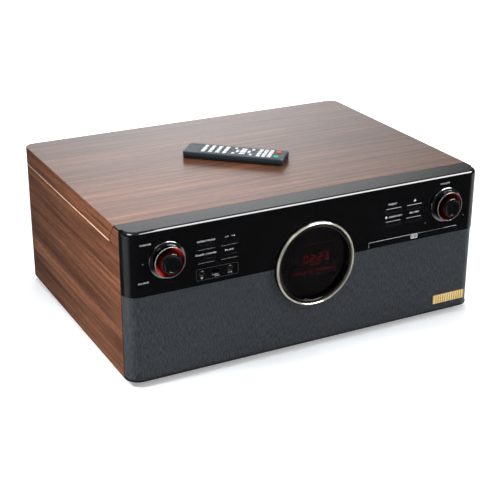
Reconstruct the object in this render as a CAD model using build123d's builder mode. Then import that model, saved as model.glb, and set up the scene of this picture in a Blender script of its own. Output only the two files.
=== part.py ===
from build123d import *
from math import atan2, cos, hypot, pi, radians, sin, tan
import os

os.makedirs("parts", exist_ok=True)

# A retro all-in-one stereo: veneered cabinet, hinged lid over a turntable, gloss fascia, grille and drawer.
# Millimetres, +Z up, front towards -Y. The origin is where it stands, under the middle of its box.

# --- driving dimensions -------------------------------------------------------------------------------------
width = 500.0
depth = 370.0
cabinet_height = 192.0
foot_height = 8.0
knob_proud = 16.0
rear_proud = 8.0
board = 15.0  # side panels and lid rims
front_corner = 18.0  # plan radius of the wrapped front corners
rear_corner = 14.0  # plan radius of the rear corners
wrap = 20.0  # how far the fascia and the grille run back along the sides
gap = 0.6  # seam between the lid and what it closes on

front_y = -(depth + rear_proud - knob_proud) / 2
rear_y = front_y + depth
wrap_y = front_y + wrap
base_z = foot_height
top_z = foot_height + cabinet_height
seam_z = base_z + 167.6  # top edge of the side panels, where the lid's rim rests
fascia_z = base_z + 111.4  # border of the fascia and the grille
inner_x = width / 2 - board

# The lid's front edge slopes: its foot is further back than its top.
slope_foot_y = front_y + 51.0
slope_top_y = front_y + 35.0
fascia_wall = 3.0
band_thickness = 2.4

back_thickness = 6.0
base_thickness = 12.0
baffle_front_y = front_y + 8.0
baffle_thickness = 12.0

# Display, knobs, buttons and drawer on the fascia
display_z = base_z + 109.3
display_radius = 56.0
display_opening = 48.5
knob_places = [(-199.0, base_z + 153.0), (196.0, base_z + 153.0)]
bezel_radius, light_radius, cap_radius = 23.2, 18.4, 12.8
lip_proud = 10.4  # front edge of the collar round each knob
key_width, key_height = 24.4, 6.6
key_columns = {-1: (118.0, 148.8), 1: (114.6, 146.3)}
key_rows = (base_z + 158.9, base_z + 141.7)
key_proud = {-1: 0.3, 1: 1.2}
key_travel = 1.0
drawer_x, drawer_width = 147.5, 138.0
drawer_bottom, drawer_top = fascia_z + 0.5, fascia_z + 9.6

# Speakers
speaker_x, speaker_z, speaker_radius = 150.0, base_z + 56.0, 43.0

# Turntable
deck_z = 151.0
deck_thickness = 4.0
spindle_x, spindle_y = -70.0, 25.0
platter_radius, hub_rim_radius = 114.0, 58.0
platter_z = deck_z + 3.5
mat_z = platter_z + 9.5
record_z = mat_z + 2.5
pulley_radius, pulley_distance = 5.8, 85.0
arm_x, arm_y, arm_z = 110.0, 90.0, 175.5
arm_length = 205.0
lid_inner_z = top_z - 8.0
running = 0.05  # radial clearance of shafts in their bores


def keep(piece, name):
    """Labels a finished piece and writes it to its own STEP file."""
    piece.part.label = name
    export_step(piece.part, f"parts/{name}.step")


def facing(y):
    """The upright plane at y that faces the front: local x is X and local y is Z."""
    return Plane.XZ.offset(-y)


def across(x):
    """The upright plane at x that faces +X: local x is Y and local y is Z."""
    return Plane.YZ.offset(x)


def front_outline(inset):
    """Plan of the wrapped front, inset from the cabinet's outside, with its two front corners rounded."""
    with BuildSketch() as plan:
        with Locations((0, (front_y + inset + wrap_y) / 2)):
            Rectangle(width - 2 * inset, wrap - inset)
        fillet(plan.vertices().group_by(Axis.Y)[0], front_corner - inset)
    return plan.sketch


# --- cabinet ------------------------------------------------------------------------------------------------
edge_break = 0.8
for side, name in ((-1, "left_side_panel"), (1, "right_side_panel")):
    with BuildPart() as side_panel:
        with BuildSketch(across(side * inner_x)):
            with BuildLine():
                Polyline(
                    (wrap_y, base_z),
                    (rear_y, base_z),
                    (rear_y, seam_z),
                    (slope_foot_y, seam_z),
                    (slope_top_y, top_z - band_thickness),
                    (wrap_y, top_z - band_thickness),
                    close=True,
                )
            make_face()
        extrude(amount=side * board)
        rear_edges = side_panel.edges().filter_by(Axis.Z).group_by(Axis.Y)[-1]
        fillet(rear_edges.sort_by(Axis.X)[-1 if side > 0 else 0], rear_corner)
        top_edges = side_panel.edges().filter_by(Axis.Y).group_by(Axis.X)[-1 if side > 0 else 0]
        chamfer(top_edges.filter_by_position(Axis.Z, seam_z - 1, seam_z + 1), edge_break)
    keep(side_panel, name)

lip = 2.0  # the base board's edge that shows under the grille
with BuildPart() as base_panel:
    with BuildSketch(Plane.XY.offset(base_z)):
        add(front_outline(0))
    extrude(amount=lip)
    with BuildSketch(Plane.XY.offset(base_z)):
        with Locations((0, (wrap_y + rear_y - back_thickness) / 2)):
            Rectangle(2 * inner_x, rear_y - back_thickness - wrap_y)
    extrude(amount=base_thickness)
keep(base_panel, "base_panel")

terminal_x, terminal_z, terminal_width, terminal_height = 60.0, 70.0, 96.0, 44.0
inlet_x, inlet_z, inlet_width, inlet_height = -175.0, 44.0, 26.0, 18.0
vent_rows, vent_columns, vent_pitch = 3, 6, 12.0
vent_x, vent_z = -90.0, 110.0
with BuildPart() as back_panel:
    with BuildSketch(facing(rear_y - back_thickness)):
        with Locations((0, (base_z + seam_z) / 2)):
            Rectangle(2 * inner_x, seam_z - base_z)
        with Locations((terminal_x, terminal_z)):
            Rectangle(terminal_width - 12, terminal_height - 12, mode=Mode.SUBTRACT)
        with Locations((inlet_x, inlet_z)):
            Rectangle(inlet_width - 6, inlet_height - 6, mode=Mode.SUBTRACT)
        with Locations((vent_x, vent_z)):
            with GridLocations(vent_pitch, vent_pitch, vent_columns, vent_rows):
                SlotOverall(8, 4, rotation=90, mode=Mode.SUBTRACT)
    extrude(amount=-back_thickness)
keep(back_panel, "back_panel")

cutout_radius = 38.0
housing_clearance = 1.5
with BuildPart() as speaker_baffle:
    with BuildSketch(facing(baffle_front_y)):
        with Locations((0, (base_z + lip + fascia_z) / 2)):
            Rectangle(2 * inner_x - 1, fascia_z - base_z - lip)
        with Locations((-speaker_x, speaker_z), (speaker_x, speaker_z)):
            Circle(cutout_radius, mode=Mode.SUBTRACT)
        with Locations((0, display_z)):
            Circle(display_radius + housing_clearance, mode=Mode.SUBTRACT)
    extrude(amount=-baffle_thickness)
keep(speaker_baffle, "speaker_baffle")

fascia_fillet = 5.0
key_clearance = 0.3
jack_z, headphone_x, usb_x, line_in_x = base_z + 125.6, -154.6, -136.2, -117.4
jack_barrel_radius = 4.0
usb_width, usb_height = 13.1, 5.7
with BuildPart() as front_fascia:
    with BuildSketch(Plane.XY.offset(fascia_z)):
        add(front_outline(0))
    extrude(amount=top_z - fascia_z)
    top_edges = front_fascia.edges().group_by(Axis.Z)[-1].sort_by(Axis.Y)[:-1]
    fillet(top_edges, fascia_fillet)
    with BuildSketch(Plane.XY.offset(top_z - band_thickness)):
        with Locations((0, (wrap_y + slope_top_y) / 2)):
            Rectangle(width - 2 * edge_break, slope_top_y - wrap_y)
    extrude(amount=band_thickness)
    with BuildSketch(Plane.XY.offset(fascia_z)):
        add(front_outline(fascia_wall))
    extrude(amount=top_z - fascia_z - fascia_wall, mode=Mode.SUBTRACT)
    with BuildSketch(facing(front_y)):
        with Locations((0, display_z)):
            Circle(display_radius + 0.2)
        with Locations(*knob_places):
            Circle(light_radius + 0.1)
        for group in (-1, 1):
            with Locations(*[(group * column, row) for column in key_columns[group] for row in key_rows]):
                Rectangle(key_width + 2 * key_clearance, key_height + 2 * key_clearance)
        with Locations((headphone_x, jack_z), (line_in_x, jack_z)):
            Circle(jack_barrel_radius)
        with Locations((usb_x, jack_z)):
            Rectangle(usb_width, usb_height)
        with Locations((drawer_x, (fascia_z + drawer_top) / 2)):
            Rectangle(drawer_width + 0.8, drawer_top - fascia_z + 0.8)
    extrude(amount=-fascia_wall, mode=Mode.SUBTRACT)
keep(front_fascia, "front_fascia")

cloth_thickness = 1.0
with BuildPart() as grille_cloth:
    with BuildSketch(Plane.XY.offset(base_z + lip)):
        add(front_outline(cloth_thickness))
        add(front_outline(2 * cloth_thickness), mode=Mode.SUBTRACT)
    extrude(amount=fascia_z - base_z - lip)
    with BuildSketch(facing(front_y)):
        with Locations((0, display_z)):
            Circle(display_radius + 0.2)
    extrude(amount=-fascia_wall, mode=Mode.SUBTRACT)
keep(grille_cloth, "grille_cloth")

badge_x, badge_z, badge_width, badge_height = 212.0, base_z + 16.8, 50.5, 12.6
with BuildPart() as badge_plate:
    with BuildSketch(facing(front_y + cloth_thickness)):
        with Locations((badge_x, badge_z)):
            Rectangle(badge_width, badge_height)
    extrude(amount=1.4)
    chamfer(badge_plate.faces().sort_by(Axis.Y)[0].edges(), 0.4)
keep(badge_plate, "badge_plate")

foot_radius = 11.0
foot_places = [(x, y) for x in (-205, 205) for y in (front_y + 40, rear_y - 40)]
with BuildPart() as rubber_feet:
    with BuildSketch():
        with Locations(*foot_places):
            Circle(foot_radius - 1.5)
    extrude(amount=foot_height, taper=-8)
    with BuildSketch(Plane.XY):
        with Locations(*foot_places):
            Circle(3.2)
    extrude(amount=3.5, mode=Mode.SUBTRACT)
    with BuildSketch(Plane.XY):
        with Locations(*foot_places):
            Circle(1.6)
    extrude(amount=foot_height, mode=Mode.SUBTRACT)
keep(rubber_feet, "rubber_feet")

back_screw_places = [(x, z) for x in (-225, 0, 225) for z in (14, 160)]
with BuildPart() as case_screws:
    with BuildSketch(Plane.XY.offset(1.0)):
        with Locations(*foot_places):
            Circle(3.0)
    extrude(amount=2.5)
    with BuildSketch(Plane.XY.offset(3.5)):
        with Locations(*foot_places):
            Circle(1.6)
    extrude(amount=foot_height - 3.5)
    with BuildSketch(facing(rear_y)):
        with Locations(*back_screw_places):
            Circle(3.2)
    extrude(amount=-1.8)
    fillet(case_screws.faces().sort_by(Axis.Y)[-1].edges(), 0.8)
keep(case_screws, "case_screws")

# --- lid and its hinges -------------------------------------------------------------------------------------
lid_front_rim = 58.0
with BuildPart() as lid_panel:
    with BuildSketch(across(-width / 2)):
        with BuildLine():
            Polyline(
                (slope_foot_y + gap, seam_z + gap),
                (rear_y, seam_z + gap),
                (rear_y, top_z),
                (slope_top_y + gap, top_z),
                close=True,
            )
        make_face()
    extrude(amount=width)
    fillet(lid_panel.edges().filter_by(Axis.Z), rear_corner)
    under_edges = lid_panel.edges().group_by(Axis.Z)[0].filter_by(Axis.Y)
    chamfer(under_edges, edge_break)
    chamfer(lid_panel.edges().group_by(Axis.Z)[-1], edge_break * 0.6)
    pocket_front = front_y + lid_front_rim
    pocket_rear = rear_y - board
    with BuildSketch(Plane.XY.offset(seam_z)):
        with Locations((0, (pocket_front + pocket_rear) / 2)):
            RectangleRounded(2 * inner_x, pocket_rear - pocket_front, 6)
    extrude(amount=lid_inner_z - seam_z, mode=Mode.SUBTRACT)
keep(lid_panel, "lid_panel")

hinge_y, hinge_z = rear_y + 3.0, seam_z + gap / 2
knuckle_radius, pin_radius, leaf_thickness = 2.8, 1.2, 1.4
hinge_width, knuckle_width = 50.0, 12.0
hinge_places = (-150.0, 150.0)


def knuckle(x_low, x_high, bore):
    """A stretch of hinge knuckle between two x positions, with a bore for the pin."""
    with BuildSketch(across(x_low)) as barrel:
        with Locations((hinge_y, hinge_z)):
            Circle(knuckle_radius)
    extrude(barrel.sketch, amount=x_high - x_low)
    with BuildSketch(across(x_low)) as hole:
        with Locations((hinge_y, hinge_z)):
            Circle(bore)
    extrude(hole.sketch, amount=x_high - x_low, mode=Mode.SUBTRACT)


def leaf(x, z_low, z_high):
    """A hinge leaf lying on the rear of the cabinet or the lid."""
    with BuildSketch(facing(rear_y)) as plate:
        with Locations((x, (z_low + z_high) / 2)):
            Rectangle(hinge_width, z_high - z_low)
    extrude(plate.sketch, amount=-leaf_thickness)


knuckle_play = 0.3
with BuildPart() as hinge_leaves_fixed:
    for x in hinge_places:
        leaf(x, hinge_z - 26, hinge_z - 1)
    with BuildSketch(facing(rear_y)):
        with Locations(*[(x, hinge_z) for x in hinge_places]):
            Rectangle(hinge_width - 2 * knuckle_width + 2 * knuckle_play, 7)
    extrude(amount=-leaf_thickness, mode=Mode.SUBTRACT)
    for x in hinge_places:
        for side in (-1, 1):
            outer = x + side * hinge_width / 2
            inner = x + side * (hinge_width / 2 - knuckle_width + knuckle_play)
            knuckle(min(outer, inner), max(outer, inner), pin_radius)
keep(hinge_leaves_fixed, "hinge_leaves_fixed")

with BuildPart() as hinge_leaves_lid:
    for x in hinge_places:
        leaf(x, hinge_z + 1.5, hinge_z + 20)
    with BuildSketch(facing(rear_y)):
        for x in hinge_places:
            for side in (-1, 1):
                with Locations((x + side * (hinge_width - knuckle_width) / 2, hinge_z)):
                    Rectangle(knuckle_width + 2 * knuckle_play, 7)
    extrude(amount=-leaf_thickness, mode=Mode.SUBTRACT)
    for x in hinge_places:
        reach = hinge_width / 2 - knuckle_width
        knuckle(x - reach, x + reach, pin_radius + running)
keep(hinge_leaves_lid, "hinge_leaves_lid")

with BuildPart() as hinge_pins:
    for x in hinge_places:
        with BuildSketch(across(x - hinge_width / 2)):
            with Locations((hinge_y, hinge_z)):
                Circle(pin_radius)
        extrude(amount=hinge_width)
keep(hinge_pins, "hinge_pins")

# --- turntable ----------------------------------------------------------------------------------------------
motor_angle = radians(135)
motor_x = spindle_x + pulley_distance * cos(motor_angle)
motor_y = spindle_y + pulley_distance * sin(motor_angle)
spindle_radius = 3.6
rail_wall = 3.0
switch_x, switch_y, switch_travel = 160.0, -95.0, 16.0
cue_x, cue_y = 132.0, 50.0
under_deck = deck_z - deck_thickness
with BuildPart() as deck_tray:
    with BuildSketch(Plane.XY.offset(under_deck)):
        with Locations((0, (slope_foot_y - rail_wall + rear_y - back_thickness) / 2)):
            Rectangle(2 * inner_x, rear_y - back_thickness - slope_foot_y + rail_wall)
    extrude(amount=deck_thickness)
    with BuildSketch(across(-inner_x)):
        with BuildLine():
            Polyline(
                (slope_foot_y, under_deck),
                (slope_foot_y, seam_z),
                (slope_top_y, top_z - band_thickness),
                (wrap_y + 4, top_z - band_thickness),
                (wrap_y + 4, top_z - band_thickness - rail_wall),
                (slope_top_y - 2, top_z - band_thickness - rail_wall),
                (slope_foot_y - rail_wall, seam_z - 1),
                (slope_foot_y - rail_wall, under_deck),
                close=True,
            )
        make_face()
    extrude(amount=2 * inner_x)
    with BuildSketch(Plane.XY.offset(under_deck - 12)):
        with Locations((spindle_x, spindle_y)):
            Circle(9)
    extrude(amount=14.5)
    with BuildSketch(Plane.XY.offset(under_deck - 12)):
        with Locations((spindle_x, spindle_y)):
            Circle(spindle_radius + running)
        with Locations((motor_x, motor_y)):
            Circle(7)
        with Locations((switch_x, switch_y)):
            SlotOverall(switch_travel + 14, 5, rotation=90)
    extrude(amount=20, mode=Mode.SUBTRACT)
keep(deck_tray, "deck_tray")

with BuildPart() as platter:
    with BuildSketch(Plane.XY.offset(platter_z)):
        with Locations((spindle_x, spindle_y)):
            Circle(platter_radius)
    extrude(amount=mat_z - platter_z)
    fillet(platter.faces().sort_by(Axis.Z)[-1].edges(), 1.2)
    with BuildSketch(Plane.XY.offset(platter_z)):
        with Locations((spindle_x, spindle_y)):
            Circle(platter_radius - 4)
            Circle(hub_rim_radius, mode=Mode.SUBTRACT)
            Circle(hub_rim_radius - 4)
            Circle(11, mode=Mode.SUBTRACT)
    extrude(amount=5.5, mode=Mode.SUBTRACT)
    with BuildSketch(Plane.XY.offset(platter_z)):
        with Locations((spindle_x, spindle_y)):
            Circle(spindle_radius)
    extrude(amount=mat_z - platter_z, mode=Mode.SUBTRACT)
keep(platter, "platter")

with BuildPart() as platter_mat:
    with BuildSketch(Plane.XY.offset(mat_z)):
        with Locations((spindle_x, spindle_y)):
            Circle(platter_radius - 4)
            Circle(spindle_radius, mode=Mode.SUBTRACT)
    extrude(amount=record_z - mat_z)
    for ring_radius in range(60, 106, 9):
        with BuildSketch(Plane.XY.offset(record_z)):
            with Locations((spindle_x, spindle_y)):
                Circle(ring_radius + 1.2)
                Circle(ring_radius, mode=Mode.SUBTRACT)
        extrude(amount=-0.7, mode=Mode.SUBTRACT)
keep(platter_mat, "platter_mat")

with BuildPart() as spindle:
    with BuildSketch(Plane.XY.offset(under_deck - 10)):
        with Locations((spindle_x, spindle_y)):
            Circle(spindle_radius)
    extrude(amount=record_z + 12 - under_deck + 10)
    fillet(spindle.faces().sort_by(Axis.Z)[-1].edges(), 2.6)
keep(spindle, "spindle")

with BuildPart() as platter_motor:
    with BuildSketch(Plane.XY.offset(under_deck - 26)):
        with Locations((motor_x, motor_y)):
            Circle(14)
    extrude(amount=25)
    fillet(platter_motor.edges().filter_by(GeomType.CIRCLE), 1.5)
    with BuildSketch(Plane.XY.offset(under_deck - 20)):
        with Locations((motor_x, motor_y)):
            Circle(1 + running)
    extrude(amount=20, mode=Mode.SUBTRACT)
keep(platter_motor, "platter_motor")

belt_z, belt_height, belt_thickness = platter_z + 1.0, 3.6, 0.8
with BuildPart() as motor_pulley:
    with BuildSketch(Plane.XY.offset(under_deck - 18)):
        with Locations((motor_x, motor_y)):
            Circle(1)
    extrude(amount=platter_z + 5 - under_deck + 18)
    with BuildSketch(Plane.XY.offset(platter_z)):
        with Locations((motor_x, motor_y)):
            Circle(pulley_radius)
    extrude(amount=5)
    for flange_z in (platter_z, platter_z + 4.7):
        with BuildSketch(Plane.XY.offset(flange_z)):
            with Locations((motor_x, motor_y)):
                Circle(pulley_radius + 0.9)
        extrude(amount=0.3)
keep(motor_pulley, "motor_pulley")


def belt_outline(grow):
    """The open-belt outline round the platter's hub rim and the motor's pulley, grown outwards."""
    big, small = hub_rim_radius + grow, pulley_radius + grow
    offset_angle = atan2(big - small, (pulley_distance**2 - (big - small) ** 2) ** 0.5)
    with BuildSketch() as outline:
        with Locations((spindle_x, spindle_y)):
            Circle(big)
        with Locations((motor_x, motor_y)):
            Circle(small)
        with BuildLine():
            corners = []
            for side in (-1, 1):
                touch = motor_angle + side * (pi / 2 - offset_angle)
                near = (spindle_x + big * cos(touch), spindle_y + big * sin(touch))
                far = (motor_x + small * cos(touch), motor_y + small * sin(touch))
                corners += [near, far] if side < 0 else [far, near]
            Polyline(*corners, close=True)
        make_face()
    return outline.sketch


belt_play = 0.15
with BuildPart() as drive_belt:
    with BuildSketch(Plane.XY.offset(belt_z)):
        add(belt_outline(belt_play + belt_thickness))
        add(belt_outline(belt_play), mode=Mode.SUBTRACT)
    extrude(amount=belt_height)
keep(drive_belt, "drive_belt")

post_radius, tube_radius = 4.0, 3.2
rest_y = -30.0
cue_axis_z = deck_z + 9.0
with BuildPart() as tonearm_base:
    with BuildSketch(Plane.XY.offset(deck_z)):
        with Locations((arm_x + 6, (rest_y + arm_y) / 2)):
            RectangleRounded(52, arm_y - rest_y + 50, 14)
    extrude(amount=2)
    fillet(tonearm_base.faces().sort_by(Axis.Z)[-1].edges(), 1.2)
    with BuildSketch(Plane.XY.offset(deck_z)):
        with Locations((arm_x, arm_y)):
            Circle(20)
    extrude(amount=5)
    fillet(tonearm_base.faces().sort_by(Axis.Z)[-1].edges(), 1.2)
    with BuildSketch(Plane.XY.offset(deck_z)):
        with Locations((arm_x, arm_y)):
            Circle(13)
    extrude(amount=10)
    with BuildSketch(Plane.XY.offset(deck_z + 1)):
        with Locations((arm_x, arm_y)):
            Circle(post_radius + running)
    extrude(amount=10, mode=Mode.SUBTRACT)
    with BuildSketch(Plane.XY.offset(deck_z)):
        with Locations((arm_x, rest_y)):
            Circle(5)
    extrude(amount=arm_z - tube_radius - 3 - deck_z)
    with BuildSketch(facing(rest_y + 4)):
        with Locations((arm_x, arm_z - tube_radius - 1.7)):
            Rectangle(14, 2.8)
        with Locations((arm_x + 5.8, arm_z - tube_radius + 2)):
            Rectangle(2.4, 10.2)
    extrude(amount=8)
    for side in (-1, 1):
        with BuildSketch(across(cue_x + side * 4)):
            with Locations((cue_y, cue_axis_z)):
                Circle(3.5)
            with Locations((cue_y, (deck_z + cue_axis_z) / 2)):
                Rectangle(7, cue_axis_z - deck_z)
        extrude(amount=side * 3)
    with BuildSketch(across(cue_x - 8)):
        with Locations((cue_y, cue_axis_z)):
            Circle(1.2 + running)
    extrude(amount=16, mode=Mode.SUBTRACT)
keep(tonearm_base, "tonearm_base")

ear_x, ear_thickness = 6.6, 3.0
with BuildPart() as tonearm_yoke:
    with BuildSketch(Plane.XY.offset(deck_z + 1.2)):
        with Locations((arm_x, arm_y)):
            Circle(post_radius)
    extrude(amount=9.1)
    with BuildSketch(Plane.XY.offset(deck_z + 10.3)):
        with Locations((arm_x, arm_y)):
            Circle(12)
    extrude(amount=3)
    for side in (-1, 1):
        with BuildSketch(across(arm_x + side * ear_x)):
            with Locations((arm_y, arm_z)):
                Circle(5.5)
            with Locations((arm_y, (deck_z + 12 + arm_z) / 2)):
                Rectangle(11, arm_z - deck_z - 12)
        extrude(amount=side * ear_thickness)
    with BuildSketch(across(arm_x - 12)):
        with Locations((arm_y, arm_z)):
            Circle(1.5 + running)
    extrude(amount=24, mode=Mode.SUBTRACT)
keep(tonearm_yoke, "tonearm_yoke")

head_y = arm_y - arm_length
head_front, head_rear = head_y + 1.0, head_y + 21.0
collar_y, collar_length = head_y + 24.0, 5.0
tube_rear = arm_y + 46.0
with BuildPart() as tonearm_tube:
    with BuildSketch(facing(tube_rear)):
        with Locations((arm_x, arm_z)):
            Circle(tube_radius)
    extrude(amount=tube_rear - collar_y)
    with BuildSketch(facing(arm_y + 9)):
        with Locations((arm_x, arm_z)):
            Circle(5.6)
    extrude(amount=18)
    with BuildSketch(across(arm_x - ear_x - ear_thickness)):
        with Locations((arm_y, arm_z)):
            Circle(1.5)
    extrude(amount=2 * (ear_x + ear_thickness))
keep(tonearm_tube, "tonearm_tube")

with BuildPart() as counterweight:
    with BuildSketch(facing(arm_y + 44)):
        with Locations((arm_x, arm_z)):
            Circle(10.5)
            Circle(tube_radius, mode=Mode.SUBTRACT)
    extrude(amount=20)
    rims = counterweight.edges().filter_by(GeomType.CIRCLE).filter_by(lambda edge: edge.radius > 10)
    fillet(rims, 1.5)
keep(counterweight, "counterweight")

shell_thickness, cartridge_height, stylus_height = 2.4, 4.6, 1.4
with BuildPart() as headshell:
    with BuildSketch(facing(collar_y)):
        with Locations((arm_x, arm_z)):
            Circle(tube_radius + 1.2)
    extrude(amount=collar_length)
    with BuildSketch(Plane.XY.offset(arm_z - shell_thickness / 2)):
        with Locations((arm_x, (head_front + head_rear) / 2)):
            RectangleRounded(14, head_rear - head_front, 3)
    extrude(amount=shell_thickness)
    with BuildSketch(Plane.XY.offset(arm_z - shell_thickness / 2)):
        with Locations((arm_x, head_front + 8)):
            Rectangle(11, 15)
    extrude(amount=-cartridge_height, taper=6)
    with BuildSketch(Plane.XY.offset(arm_z - shell_thickness / 2 - cartridge_height)):
        with Locations((arm_x, head_front + 3)):
            Circle(0.7)
    extrude(amount=-stylus_height, taper=20)
    with BuildSketch(facing(collar_y)):
        with Locations((arm_x, arm_z)):
            Circle(tube_radius)
    extrude(amount=collar_length, mode=Mode.SUBTRACT)
keep(headshell, "headshell")

with BuildPart() as cue_lever:
    with BuildSketch(across(cue_x - 3.5)):
        with Locations((cue_y, cue_axis_z)):
            Circle(3.2)
        with Locations((cue_y - 13, cue_axis_z)):
            SlotOverall(26, 3.4)
    extrude(amount=7)
    with BuildSketch(across(cue_x - 7)):
        with Locations((cue_y, cue_axis_z)):
            Circle(1.2)
    extrude(amount=14)
keep(cue_lever, "cue_lever")

with BuildPart() as speed_switch:
    with BuildSketch(Plane.XY.offset(under_deck - 4)):
        with Locations((switch_x, switch_y - switch_travel / 2)):
            Rectangle(4.4, 7)
    extrude(amount=deck_thickness + 4 + 5)
    with BuildSketch(Plane.XY.offset(under_deck - 4)):
        with Locations((switch_x, switch_y - switch_travel / 2)):
            Rectangle(9, 9)
    extrude(amount=3.7)
keep(speed_switch, "speed_switch")

# --- front controls -----------------------------------------------------------------------------------------
shaft_radius = 3.0


def turned(points, x, z):
    """Revolves a half profile of (radius, y) points about the Y axis through (x, z)."""
    with BuildSketch(Plane.XY.offset(z)) as profile:
        with BuildLine():
            Polyline(*[(x + radius, y) for radius, y in points], close=True)
        make_face()
    revolve(profile.sketch, axis=Axis((x, 0, z), (0, 1, 0)))


with BuildPart() as knob_bezels:
    for x, z in knob_places:
        turned(
            [
                (light_radius, front_y),
                (light_radius, front_y - lip_proud),
                (light_radius + 0.8, front_y - lip_proud),
                (light_radius + 1.8, front_y - 3.4),
                (bezel_radius - 0.6, front_y - 2.4),
                (bezel_radius, front_y - 1.4),
                (bezel_radius, front_y),
            ],
            x,
            z,
        )
keep(knob_bezels, "knob_bezels")

light_inner = cap_radius + 0.5
with BuildPart() as light_rings:
    for x, z in knob_places:
        turned(
            [
                (light_inner, front_y + fascia_wall),
                (light_inner, front_y - 3.0),
                (light_radius, front_y - lip_proud + 1.6),
                (light_radius, front_y + fascia_wall),
            ],
            x,
            z,
        )
keep(light_rings, "light_rings")

encoder_y = front_y + 9.0
for (x, z), name in zip(knob_places, ("source_knob", "volume_knob")):
    with BuildPart() as knob:
        with BuildSketch(facing(front_y + 1)):
            with Locations((x, z)):
                Circle(cap_radius)
        extrude(amount=knob_proud + 1, taper=1.5)
        fillet(knob.faces().sort_by(Axis.Y)[0].edges(), 1.6)
        with BuildSketch(facing(front_y + 1)):
            with Locations((x, z)):
                Circle(shaft_radius)
        extrude(amount=-14)
    keep(knob, name)

key_names = {
    (-1, 1, 0): "repeat_button",
    (-1, 0, 0): "skip_button",
    (-1, 1, 1): "folder_button",
    (-1, 0, 1): "play_button",
    (1, 0, 0): "preset_button",
    (1, 1, 0): "eject_button",
    (1, 0, 1): "menu_button",
    (1, 1, 1): "record_button",
}
flange_y = front_y + fascia_wall + key_travel * 0.2
for (group, column, row), name in key_names.items():
    with BuildPart() as key:
        with BuildSketch(facing(flange_y)):
            with Locations((group * key_columns[group][column], key_rows[row])):
                Rectangle(key_width, key_height)
        extrude(amount=flange_y - front_y + key_proud[group])
        chamfer(key.faces().sort_by(Axis.Y)[0].edges(), 0.6)
        with BuildSketch(facing(flange_y)):
            with Locations((group * key_columns[group][column], key_rows[row])):
                Rectangle(key_width + 3, key_height + 3)
        extrude(amount=-1.5)
    keep(key, name)

board_y, board_thickness = front_y + 17.0, 1.6
switch_y_face = flange_y + 1.5 + key_travel + 0.2
with BuildPart() as control_board:
    with BuildSketch(facing(board_y)):
        with Locations((0, base_z + 152)):
            Rectangle(450, 52)
        with Locations((-135, base_z + 126)):
            Rectangle(66, 16)
        with Locations((0, display_z)):
            Circle(display_radius + 3, mode=Mode.SUBTRACT)
    extrude(amount=-board_thickness)
    with BuildSketch(facing(board_y)):
        for group in (-1, 1):
            with Locations(*[(group * column, row) for column in key_columns[group] for row in key_rows]):
                Rectangle(6, 6)
    extrude(amount=board_y - switch_y_face)
    with BuildSketch(facing(board_y)):
        with Locations(*knob_places):
            RectangleRounded(14, 14, 1.5)
    extrude(amount=board_y - encoder_y)
    with BuildSketch(facing(encoder_y)):
        with Locations(*knob_places):
            Circle(shaft_radius + running)
    extrude(amount=-6.5, mode=Mode.SUBTRACT)
keep(control_board, "control_board")

with BuildPart() as front_sockets:
    with BuildSketch(facing(front_y + 0.4)):
        with Locations((headphone_x, jack_z), (line_in_x, jack_z)):
            Circle(jack_barrel_radius)
        with Locations((usb_x, jack_z)):
            Rectangle(usb_width, usb_height)
    extrude(amount=-(board_y - front_y - 0.4))
    with BuildSketch(facing(front_y + 0.4)):
        with Locations((headphone_x, jack_z), (line_in_x, jack_z)):
            Circle(1.8)
        with Locations((usb_x, jack_z)):
            Rectangle(usb_width - 1, usb_height - 1)
    extrude(amount=-13, mode=Mode.SUBTRACT)
keep(front_sockets, "front_sockets")

# --- display ------------------------------------------------------------------------------------------------
ring_back, window_y = front_y + 16.0, front_y + 1.0
with BuildPart() as display_ring:
    turned(
        [
            (display_opening, ring_back),
            (display_opening, front_y - 2.4),
            (display_opening + 1.6, front_y - 4.4),
            (display_radius - 2.2, front_y - 6.0),
            (display_radius - 0.6, front_y - 5.4),
            (display_radius, front_y - 3.8),
            (display_radius, ring_back),
        ],
        0,
        display_z,
    )
keep(display_ring, "display_ring")

with BuildPart() as display_window:
    with BuildSketch(facing(window_y)):
        with Locations((0, display_z)):
            Circle(display_opening)
    extrude(amount=-2)
keep(display_window, "display_window")

with BuildPart() as display_module:
    with BuildSketch(facing(window_y + 5)):
        with Locations((0, display_z)):
            Circle(display_opening - 0.5)
    extrude(amount=-board_thickness)
    with BuildSketch(facing(window_y + 5)):
        with Locations((0, display_z + 6)):
            Rectangle(62, 34)
    extrude(amount=2.6)
keep(display_module, "display_module")

# --- speakers -----------------------------------------------------------------------------------------------
speaker_y = baffle_front_y + baffle_thickness
with BuildPart() as speaker_drivers:
    for x in (-speaker_x, speaker_x):
        turned(
            [
                (speaker_radius, speaker_y),
                (speaker_radius, speaker_y + 2),
                (cutout_radius, speaker_y + 2),
                (20, speaker_y + 22),
                (20, speaker_y + 24),
                (24, speaker_y + 24),
                (24, speaker_y + 36),
                (0, speaker_y + 36),
                (0, speaker_y + 22),
                (17, speaker_y + 20.5),
                (36, speaker_y),
            ],
            x,
            speaker_z,
        )
keep(speaker_drivers, "speaker_drivers")

with BuildPart() as speaker_cones:
    for x in (-speaker_x, speaker_x):
        turned(
            [
                (cutout_radius - 0.4, speaker_y - 0.3),
                (35, speaker_y - 2.2),
                (32, speaker_y - 0.8),
                (14, speaker_y + 14),
                (0, speaker_y + 9.5),
                (0, speaker_y + 10.7),
                (14, speaker_y + 15.4),
                (33, speaker_y - 0.1),
                (35.5, speaker_y - 0.3),
            ],
            x,
            speaker_z,
        )
keep(speaker_cones, "speaker_cones")

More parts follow.
